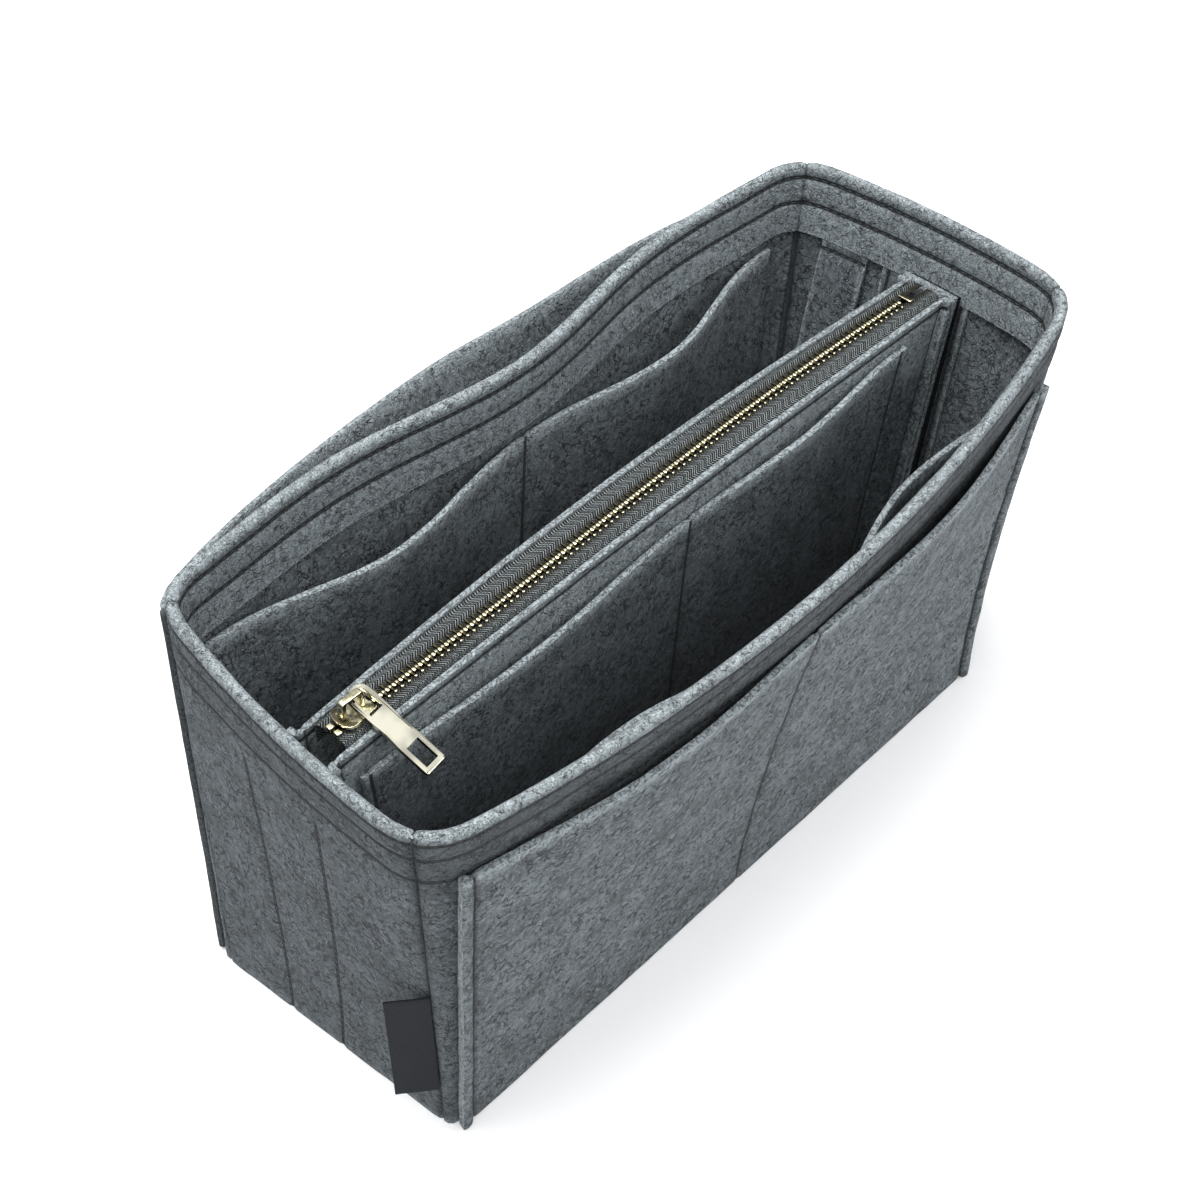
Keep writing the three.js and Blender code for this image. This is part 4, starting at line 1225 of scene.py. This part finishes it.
def end_strip(walls, k, side, node, thread):
    """A strip sewn flat up the inside of an end wall."""
    w = walls.w
    back, front = k.strip_back, -k.strip_front
    heights = refined(w.felt + w.seam_gap, w.wall_height - w.hem_height - w.seam_gap, COARSE)
    lines = (back - 0.003, front + 0.003)
    # Painted shade over the whole strip; its cut edges are paler.
    sheet = end_sheet(
        walls, node, side, refined(back, front, 0.005, lines), heights, lambda h: 1.5 * w.felt,
        seam=lambda y, h: max(valley(y - line) for line in lines),
        shade=lambda y, h: 0.35,
        worn=lambda y, h: 0.6 * cut_edge(max(y - back, front - y)),
    )
    obj = felt_piece(sheet, "organizer", node, (w.felt - w.seam_gap) * POCKET_FILL, FLAT_RIPPLE)
    for line in lines:
        spots = [(line, height) for height in steps(INNER_FOOT, 0.148, 40)]
        inner_stitches(thread, obj, walls, side, spots, 2 * w.felt)


def inner_stitches(thread, obj, walls, side, spots, depth):
    """Stitches on the inner face of a piece on an end wall, through spots given as y and height."""
    path = [walls.end_point(side, y, height, depth) for y, height in spots]
    inward = Vector((-1 if side == RIGHT else 1, 0, 0))
    thread.along(obj, path, [inward] * len(path))


def end_strap(walls, k, thread):
    """The loose strap inside the right end, sewn down at its two ends only."""
    w = walls.w
    low, high = w.felt + w.seam_gap, w.wall_height - w.hem_height - w.seam_gap
    back = k.strap_near + k.strap_width

    def depth_at(height):
        bulge = math.sin(math.pi * (height - low) / (high - low))
        return 1.5 * w.felt + w.seam_gap / 2 + k.strap_stand_off * bulge

    lines = (low + 0.003, high - 0.003)
    # Painted shade over the whole strap; its cut edges are paler.
    sheet = end_sheet(
        walls, "right_end_strap", RIGHT, steps(k.strap_near, back, 8),
        refined(low, high, COARSE, lines), depth_at,
        seam=lambda y, h: max(valley(h - line) for line in lines),
        shade=lambda y, h: 0.2,
        worn=lambda y, h: 0.7 * cut_edge(max(y - back, k.strap_near - y)),
    )
    thickness = (w.felt - w.seam_gap) * POCKET_FILL
    obj = felt_piece(sheet, "organizer", "right_end_strap", thickness, FLAT_RIPPLE)
    for line in lines:
        spots = [(y, line) for y in steps(k.strap_near + 0.001, back - 0.001, 10)]
        inner_stitches(thread, obj, walls, RIGHT, spots, depth_at(line) + w.felt / 2)


def grip_tape(walls, k, p, side, layer, node, body):
    """One half of a hook-and-loop fastening, with its pile."""
    w = walls.w
    depth = 2 * w.felt + w.seam_gap + layer * (k.grip_thickness + w.seam_gap) + k.grip_thickness / 2
    near, far = p.centre_y + k.grip_width / 2, p.centre_y - k.grip_width / 2
    sheet = end_sheet(
        walls, node, side, steps(near, far, 10), refined(k.grip_bottom, k.grip_top, COARSE),
        lambda h: depth,
    )
    obj = sheet.build(k.grip_thickness * FLAT_FILL, 0, ("grip_tape",))
    finish_piece(obj, body, "grip_tape", node)


def label_piece(walls, p):
    """The bare woven label that stands off the near corner seam."""
    w = walls.w
    angle = math.radians(LABEL_TURN)
    along = Vector((math.cos(angle), math.sin(angle), 0))
    across = Vector((-along.y, along.x, 0))

    def place(u, v):
        root = walls.point(4 + walls.seam_turn(0, v), v, -w.seam_gap)
        wave = 0.00012 * math.sin(u * 5) * math.sin(v * 90)
        return root + along * (p.label_width * u) + across * (0.00045 + wave)

    rows = steps(p.label_bottom, p.label_bottom + p.label_height, 24)
    sheet = Sheet("side_label", steps(0, 1, 10), rows, place)
    obj = sheet.build(0.0008, 0, ("label_cloth",))
    finish_piece(obj, "organizer", "label_cloth", "side_label")


class OBJECT_OT_organizer_strips(bpy.types.Operator):
    """Adds the strips, the strap, the loop tapes and the side label"""

    bl_idname = "object.organizer_strips"
    bl_label = "Strips and label"

    def execute(self, context):
        walls, k, p, thread = workbench()
        for side, name in ENDS:
            end_strip(walls, k, side, name + "_end_strip", thread)
        end_strap(walls, k, thread)
        thread.piece("strip_thread", "organizer")
        for side, name in ENDS:
            grip_tape(walls, k, p, side, 0, name + "_loop_tape", "organizer")
        label_piece(walls, p)
        return {"FINISHED"}


def pouch_panel(pouch, sign, node, thread):
    """A long panel of the pouch; its ends turn out beside the end panels as raw seams do."""
    w, p = pouch.walls.w, pouch.p
    half, lip, side_seam = w.felt / 2, p.lip, 0.004
    span = pouch.span

    def place(u, height):
        """U runs in metres along the panel, and beyond its corners out along the lips."""
        beyond = max(-u, u - span, 0)
        share = min(max(u, half), span - half) / span
        bend = smooth(min(u, span - u), 0, 0.002)
        return pouch.point(sign, share, height, beyond - half * bend)

    seams = (side_seam, span - side_seam)
    columns = [-lip, -lip / 2, *refined(0, span, MEDIUM, seams), span + lip / 2, span + lip]
    top_line = p.top - 0.0035
    heights = refined(p.floor, p.top, FINE, (top_line,))

    def seam(u, height):
        return max(valley(height - top_line), 0.8 * valley(min(u, span - u) - side_seam))

    # Pale top edge, and painted light over the band from 120 to 140 mm up.
    def worn(u, height):
        edge = 0.95 * smooth(height, p.top - MOUTH, p.top - 0.0006)
        return max(edge, 0.75 * smooth(height, 0.12, 0.14))

    # The back panel gets painted shade.
    sheet = Sheet(
        node, columns, heights, place, seam=seam, worn=worn,
        shade=lambda u, h: 0.0 if sign < 0 else 0.10,
    )
    obj = felt_piece(sheet, "pouch", node, w.felt * PANEL_FILL, 0.00012)
    path = [pouch.point(sign, s, top_line, 0) for s in steps(0.02, 0.98, 90)]
    thread.along(obj, path, [Vector((0, sign, 0))] * len(path))


def pouch_gusset(pouch, side, node):
    """The narrow felt that closes an end of the pouch."""
    w, p = pouch.walls.w, pouch.p
    heights = refined(p.floor, p.top, FINE)
    depth = pouch.gusset_depth + w.felt / 2

    def place(u, height):
        reach = pouch.half(pouch.left_top, height) + p.lip
        return pouch.walls.end_point(side, p.centre_y + reach * u, height, depth)

    # Painted light along the top edge, where the cut edge is also paler; painted shade over the whole
    # gusset.
    sheet = Sheet(node, steps(1, -1, 10), heights, place,
                  worn=lambda u, h: smooth(h, p.top - 0.002, p.top - 0.0006),
                  shade=lambda u, h: 0.2)
    felt_piece(sheet, "pouch", node, w.felt * WALL_FILL, FLAT_RIPPLE)


def pouch_floor(pouch):
    """The strip between the feet of the pouch's panels."""
    w, p = pouch.walls.w, pouch.p

    def place(share, across):
        height = p.floor + w.felt / 2
        inset = -w.felt - w.seam_gap
        front = pouch.point(-1, share, height, inset)
        back = pouch.point(1, share, height, inset)
        return front.lerp(back, across)

    # Painted shade over the whole floor.
    sheet = Sheet("pouch_floor", steps(0, 1, 50), steps(0, 1, 4), place, shade=lambda u, v: 0.5)
    felt_piece(sheet, "pouch", "pouch_floor", w.felt * FLAT_FILL, 0)


def slip_pocket(pouch, thread):
    """The slip pocket, whose mouth climbs towards its right end."""
    w, p = pouch.walls.w, pouch.p
    middle, climb = 0.57, 0.045
    start, end = p.slip_margins[0] / pouch.span, 1 - p.slip_margins[1] / pouch.span
    span = (end - start) * pouch.span
    top = p.slip_height

    def across_at(share, height):
        lift = (height - p.floor) / (top - p.floor)
        return w.seam_gap + p.slip_gape * two_bays(share, middle) * lift ** 2 + w.felt / 2

    def place(share, height):
        raised = height + (height - p.floor) * climb * smooth(share, 0.55, 1)
        return pouch.point(-1, start + (end - start) * share, raised, across_at(share, height))

    edge = 0.003 / span
    # Painted shade, deepening towards the foot.
    marks = bay_marks(span, top, 0.02, 0.6, middle)
    bay_seam = marks["seam"]
    marks["seam"] = lambda u, v: max(bay_seam(u, v), valley((edge_of(u) - edge) * span))
    lines = (middle * span, edge * span, span - edge * span)
    columns = [x / span for x in refined(0, span, FINE, lines)]
    sheet = Sheet("pouch_slip_pocket", columns, refined(p.floor, top, FINE), place, **marks)
    obj = felt_piece(sheet, "pouch", "pouch_slip_pocket", w.felt * POCKET_FILL)
    for share in (edge, middle, 1 - edge):
        path = [place(share, h) for h in steps(p.floor + 0.003, top - BELOW_MOUTH, 50)]
        thread.along(obj, path, [Vector((0, -1, 0))] * len(path))


class OBJECT_OT_organizer_pouch(bpy.types.Operator):
    """Adds the felt pouch with its slip pocket and hook tapes"""

    bl_idname = "object.organizer_pouch"
    bl_label = "Pouch"

    def execute(self, context):
        walls, k, p, thread = workbench()
        pouch = Pouch(walls, k, p)
        pouch_panel(pouch, -1, "pouch_front_panel", thread)
        pouch_panel(pouch, 1, "pouch_back_panel", thread)
        for side, name in ENDS:
            pouch_gusset(pouch, side, f"pouch_{name}_gusset")
        pouch_floor(pouch)
        slip_pocket(pouch, thread)
        thread.piece("pouch_thread", "pouch")
        for side, name in ENDS:
            grip_tape(walls, k, p, side, 1, name + "_hook_tape", "pouch")
        return {"FINISHED"}


class ZipLine:
    """Where the zip's tapes and teeth lie, taken from its solids."""

    def __init__(self, pouch):
        self.pouch, self.p, self.w = pouch, pouch.p, pouch.walls.w
        self.left, self.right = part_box("zip_tape_front")[0].x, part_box("zip_tape_front")[1].x
        self.teeth_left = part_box("slider_body")[1].x + self.w.seam_gap
        self.teeth_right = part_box("zip_bottom_stop")[0].x - self.w.seam_gap
        self.fold = self.p.zip_height - self.p.tape_fall

    def panel_y(self, sign, x, height):
        middle = self.p.centre_y + self.p.bow * self.pouch.swell(x)
        return middle + sign * (self.pouch.half(x, height) - self.w.felt - self.w.seam_gap)

    def knots(self, sign, x):
        """The tape across the zip: its edge, its bend, its fold and its sewn edge, as (y, z)."""
        p, chain = self.p, self.pouch.chain_y(x)
        flat = p.nose_width / 2 + self.w.seam_gap
        foot = self.fold - p.tape_turn
        in_panel = -sign * p.tape / 2
        return (
            (chain + sign * p.tape_edge, p.zip_height),
            (chain + sign * flat, p.zip_height),
            (self.panel_y(sign, x, self.fold) + in_panel, self.fold),
            (self.panel_y(sign, x, foot) + in_panel, foot),
        )


def between(knots, t):
    """The place between a row of knots, where t counts the stretches passed."""
    index = min(int(t), len(knots) - 2)
    return [a + (b - a) * (t - index) for a, b in zip(knots[index], knots[index + 1])]


def zip_tape(line, sign, node):
    """A woven tape; t is 0 to 3 across it, one for each stretch between its knots."""
    p = line.p

    def place(x, t):
        return Vector((x, *between(line.knots(sign, x), t)))

    def weave(x, t):
        """Millimetres along and across the tape."""
        return x * 1000, *between(((0.0,), (4.2,), (7.6,), (14.6,)), t)

    sheet = Sheet(node, steps(line.left, line.right, 150), steps(0, 3, 15), place)
    obj = sheet.build(p.tape * FLAT_FILL, 0.00006, ("zip_tape",), weave)
    finish_piece(obj, "pouch", "zip_tape", node)
    width = sheet.area / (line.right - line.left)


def extruded(name, rings):
    """A bar drawn along Y through rings of (y, half width, half height)."""
    deselect()
    y, half_x, half_z = rings[0]
    bpy.ops.mesh.primitive_plane_add(size=2, location=(0, 0, 0))
    obj = named(bpy.context.object, name)
    bpy.ops.object.mode_set(mode="EDIT")
    bpy.ops.mesh.select_all(action="SELECT")
    bpy.ops.transform.rotate(value=math.pi / 2, orient_axis="X", center_override=(0, 0, 0))
    bpy.ops.transform.resize(value=(half_x, 1, half_z), center_override=(0, 0, 0))
    bpy.ops.transform.translate(value=(0, y, 0))
    for (y0, x0, z0), (y1, x1, z1) in zip(rings, rings[1:]):
        bpy.ops.mesh.extrude_region_move(TRANSFORM_OT_translate={"value": (0, y1 - y0, 0)})
        bpy.ops.transform.resize(value=(x1 / x0, 1, z1 / z0), center_override=(0, y1, 0))
    bpy.ops.object.mode_set(mode="OBJECT")
    outward(obj)
    return obj


def wear_of(obj):
    """How open each vertex is to the room and how much it stands out, both from 0 to 1."""
    reach, rays, golden_angle = 0.003, 16, 2.39996
    tree = ray_tree(obj)
    ways = []
    for i in range(rays):
        z = (i + 0.5) / rays
        flat = Vector((math.cos(i * golden_angle), math.sin(i * golden_angle), 0))
        ways.append(flat * math.sqrt(1 - z * z) + Vector((0, 0, z)))
    lean = [[] for _ in obj.data.vertices]
    for edge in obj.data.edges:
        for one, other in (edge.vertices, reversed(edge.vertices)):
            here, there = obj.data.vertices[one], obj.data.vertices[other]
            lean[one].append(here.normal.dot((here.co - there.co).normalized()))
    found = []
    for vertex, slopes in zip(obj.data.vertices, lean):
        turn = Vector((0, 0, 1)).rotation_difference(vertex.normal)
        start = vertex.co + vertex.normal * 0.00004
        free = sum(1 for way in ways if tree.ray_cast(start, turn @ way, reach)[0] is None)
        sharp = 1.3 * max(0.0, min(1.0, 5 * sum(slopes) / max(len(slopes), 1))) ** 2
        found.append((free / len(ways), sharp))
    return found


def tooth_wear_and_highlight(point, sign, p):
    """Teeth are rubbed bright on their heads; the ends of their legs get a painted highlight, strong
    on the front row and faint on the back row.
    """
    upper = smooth(point.z, 0, p.tooth_height * 0.42)
    head = 1 - smooth(point.y, 0.0002, 0.0009)
    leg = smooth(point.y, 0.0022, 0.0027) * (0.9 if sign < 0 else 0.2)
    return 0.04 + 0.72 * upper * max(head, leg)


def tooth_piece(line, sign, name):
    """One side's row of teeth: a tooth modelled once and copied along the chain."""
    p = line.p
    half, wide = p.tooth_thickness / 2, p.tooth_height / 2
    rings = (
        (p.tooth_outer, half * 0.72, wide * 0.80),
        (p.tooth_outer - 0.0003, half * 0.90, wide),
        (p.tooth_outer - 0.0009, half * 0.84, wide * 0.97),
        (0.0014, half * 0.66, wide * 0.78),
        (0.0008, half * 0.88, wide * 0.92),
        (0.0001, half, wide * 0.92),
        (-p.tooth_reach * 0.75, half * 0.96, wide * 0.88),
        (-p.tooth_reach, half * 0.70, p.tooth_tip / 2 * 0.8),
    )
    obj = extruded(name, rings)
    apply_modifier(obj, "round", "BEVEL", width=0.00018, segments=2, limit_method="ANGLE",
                   angle_limit=math.radians(40), use_clamp_overlap=True)
    points, faces = taken_apart(obj)
    wear_and_highlight = [tooth_wear_and_highlight(c, sign, p) for c in points]
    start = line.teeth_left + half + (p.tooth_pitch / 2 if sign > 0 else 0)
    end = line.teeth_right - p.tooth_thickness
    count = math.ceil((end - start) / p.tooth_pitch)
    row = []
    for i in range(count):
        x = start + i * p.tooth_pitch
        centre = line.pouch.chain_y(x)
        tilt = 0.05 * noise.noise(Vector((x * 900, sign, 0)))
        for c in points:
            lift = p.zip_height + c.z * (1 + tilt)
            row.append((x + c.x + c.y * tilt, centre + sign * c.y, lift))
    obj = mesh_piece(name, row, count, faces, "antique_brass")
    point_values(obj, "rub", wear_and_highlight * count)
    smooth_by_angle(obj, 45)
    finish_piece(obj, "pouch", "antique_brass")


def metal_copy(node, body, material, width, polish=1.0, border=0.0):
    """A solid with its triangles merged, its edges rounded and its rub stored: wear on brass, and a
    painted dark border on the pull's plating.

    A border insets the widest faces by that much, in place of the merging.
    """
    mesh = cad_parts[node].data.copy()
    obj = linked(node + "_metal", mesh)
    choose(obj)
    bpy.ops.object.mode_set(mode="EDIT")
    bpy.ops.mesh.select_all(action="SELECT")
    bpy.ops.mesh.remove_doubles(threshold=0.000002)
    if not border:
        bpy.ops.mesh.dissolve_limited(angle_limit=math.radians(1))
    bpy.ops.mesh.normals_make_consistent(inside=False)
    bpy.ops.mesh.select_mode(type="FACE")
    bpy.ops.mesh.select_all(action="DESELECT")
    bpy.ops.object.mode_set(mode="OBJECT")
    if border:
        flat = max(mesh.polygons, key=lambda face: face.area).normal.copy()
        for face in mesh.polygons:
            face.select = abs(face.normal.dot(flat)) > 0.9
        bpy.ops.object.mode_set(mode="EDIT")
        bpy.ops.mesh.inset(thickness=border, use_boundary=True)
        bpy.ops.object.mode_set(mode="OBJECT")
    mesh.materials.clear()
    mesh.materials.append(look(material))
    apply_modifier(obj, "round", "BEVEL", width=width, segments=3, limit_method="ANGLE",
                   angle_limit=math.radians(28), use_clamp_overlap=True)
    smooth_by_angle(obj, 40)
    # Brass is bright where it is open and sharp; the pull's plating is painted dark there as shade.
    rub = [polish * (0.06 + 0.20 * free + 0.80 * sharp) for free, sharp in wear_of(obj)]
    point_values(obj, "rub", rub)
    finish_piece(obj, body, material, node)


class OBJECT_OT_organizer_zip(bpy.types.Operator):
    """Adds the zip's woven tapes, its two rows of teeth and its stops"""

    bl_idname = "object.organizer_zip"
    bl_label = "Zip"

    def execute(self, context):
        walls, k, p, _ = workbench()
        line = ZipLine(Pouch(walls, k, p))
        zip_tape(line, -1, "zip_tape_front")
        zip_tape(line, 1, "zip_tape_back")
        tooth_piece(line, -1, "front_teeth")
        tooth_piece(line, 1, "back_teeth")
        for node, polish in (
            ("zip_top_stop_front", 1.0), ("zip_top_stop_back", 1.0), ("zip_bottom_stop", 0.45)
        ):
            metal_copy(node, "pouch", "antique_brass", 0.00035, polish)
        return {"FINISHED"}


class OBJECT_OT_organizer_slider(bpy.types.Operator):
    """Adds the slider, its bridge and the pull"""

    bl_idname = "object.organizer_slider"
    bl_label = "Slider and pull"

    def execute(self, context):
        metal_copy("slider_body", "slider", "antique_brass", 0.0003)
        metal_copy("slider_bridge", "slider", "antique_brass", 0.0004)
        # The inset keeps the pull's painted dark border narrow.
        metal_copy("pull_tab", "pull", "pale_gold", 0.0002, border=0.0006)
        return {"FINISHED"}


def light(name, place, power, size):
    """A round lamp at a place, pointed at the middle of the organizer."""
    deselect()
    bpy.ops.object.light_add(type="AREA", location=place)
    lamp = named(bpy.context.object, name)
    lamp.data.shape = "DISK"
    lamp.data.size = size
    lamp.data.energy = power
    lamp.rotation_euler = (Vector(place) - Vector(LIT_POINT)).to_track_quat("Z", "Y").to_euler()


def floor_piece():
    deselect()
    bpy.ops.mesh.primitive_plane_add(size=3, location=(0, 0, -0.0002))
    floor = named(bpy.context.object, "floor")
    shader = Shader(
        "floor_white", Roughness=0.85, Specular_IOR_Level=0.1,
        Emission_Color=(1, 1, 1, 1), Emission_Strength=0.16,
    )
    floor.data.materials.append(shader.finish((0.93, 0.93, 0.93, 1)))


def white_room(strength):
    """A soft grey room that the camera sees as white; metal mirrors its white ceiling."""
    world = bpy.data.worlds.new("studio")
    bpy.context.scene.world = world
    world.use_nodes = True
    world.node_tree.nodes.clear()
    sky = Nodes(world.node_tree)
    soft = sky.node("Background", Color=(0.93, 0.96, 1.0, 1), Strength=strength)
    white = sky.node("Background", Color=(1, 1, 1, 1))
    up = sky.node("SeparateXYZ", output="Z", Vector=sky.node("TexCoord", output="Generated"))
    ceiling = sky.fade(up, 0.35, 0.80) * sky.node("LightPath", output="Is Glossy Ray")
    seen = sky.math("MAXIMUM", sky.node("LightPath", output="Is Camera Ray"), ceiling)
    mixed = sky.tree.nodes.new("ShaderNodeMixShader")
    for value, target in zip((seen, soft, white), mixed.inputs):
        sky.join(value, target)
    output = sky.tree.nodes.new("ShaderNodeOutputWorld")
    sky.tree.links.new(mixed.outputs[0], output.inputs["Surface"])


def camera_piece():
    """The camera at the photo's angle."""
    deselect()
    bpy.ops.object.camera_add(location=CAMERA_PLACE)
    camera = named(bpy.context.object, "camera")
    camera.data.sensor_width = SENSOR
    camera.data.lens = LENS
    turn, rise = math.radians(CAMERA_TURN), math.radians(CAMERA_RISE)
    level = math.cos(rise)
    back = Vector((math.sin(turn) * level, -math.cos(turn) * level, math.sin(rise)))
    roll = Quaternion((0, 0, 1), math.radians(CAMERA_ROLL))
    camera.rotation_euler = (back.to_track_quat("Z", "Y") @ roll).to_euler()
    bpy.context.scene.camera = camera


class OBJECT_OT_organizer_stage(bpy.types.Operator):
    """Adds the floor, the lights and the camera at the photo's angle"""

    bl_idname = "object.organizer_stage"
    bl_label = "Stage"

    def execute(self, context):
        floor_piece()
        white_room(ROOM_LIGHT)
        for row in LIGHTS:
            light(*row)
        camera_piece()
        context.scene.view_settings.view_transform = "Standard"
        return {"FINISHED"}


OPERATORS = (
    OBJECT_OT_organizer_walls,
    OBJECT_OT_organizer_pockets,
    OBJECT_OT_organizer_strips,
    OBJECT_OT_organizer_pouch,
    OBJECT_OT_organizer_zip,
    OBJECT_OT_organizer_slider,
    OBJECT_OT_organizer_stage,
)


class VIEW3D_PT_organizer(bpy.types.Panel):
    """Builds the organizer piece by piece"""

    bl_idname = "VIEW3D_PT_organizer"
    bl_label = "Felt bag organizer"
    bl_space_type = "VIEW_3D"
    bl_region_type = "UI"
    bl_category = "Organizer"

    def draw(self, context):
        column = self.layout.column()
        for operator in OPERATORS:
            column.operator(operator.bl_idname)
        for name in GROUPS:
            group = getattr(context.scene, name)
            for key in type(group).__annotations__:
                column.prop(group, key)


GROUPS = {
    "organizer_walls": OrganizerWalls,
    "organizer_pockets": OrganizerPockets,
    "organizer_pouch": OrganizerPouch,
    "organizer_colours": OrganizerColours,
}


def register():
    for kind in (*GROUPS.values(), *OPERATORS, VIEW3D_PT_organizer):
        bpy.utils.register_class(kind)
    for name, kind in GROUPS.items():
        setattr(bpy.types.Scene, name, PointerProperty(type=kind))


def unregister():
    for name in GROUPS:
        delattr(bpy.types.Scene, name)
    for kind in (VIEW3D_PT_organizer, *reversed(OPERATORS), *reversed(GROUPS.values())):
        bpy.utils.unregister_class(kind)


def main():
    register()
    bpy.ops.object.organizer_walls()
    bpy.ops.object.organizer_pockets()
    bpy.ops.object.organizer_strips()
    bpy.ops.object.organizer_pouch()
    bpy.ops.object.organizer_zip()
    bpy.ops.object.organizer_slider()
    bpy.ops.object.organizer_stage()


if __name__ == "__main__":
    main()
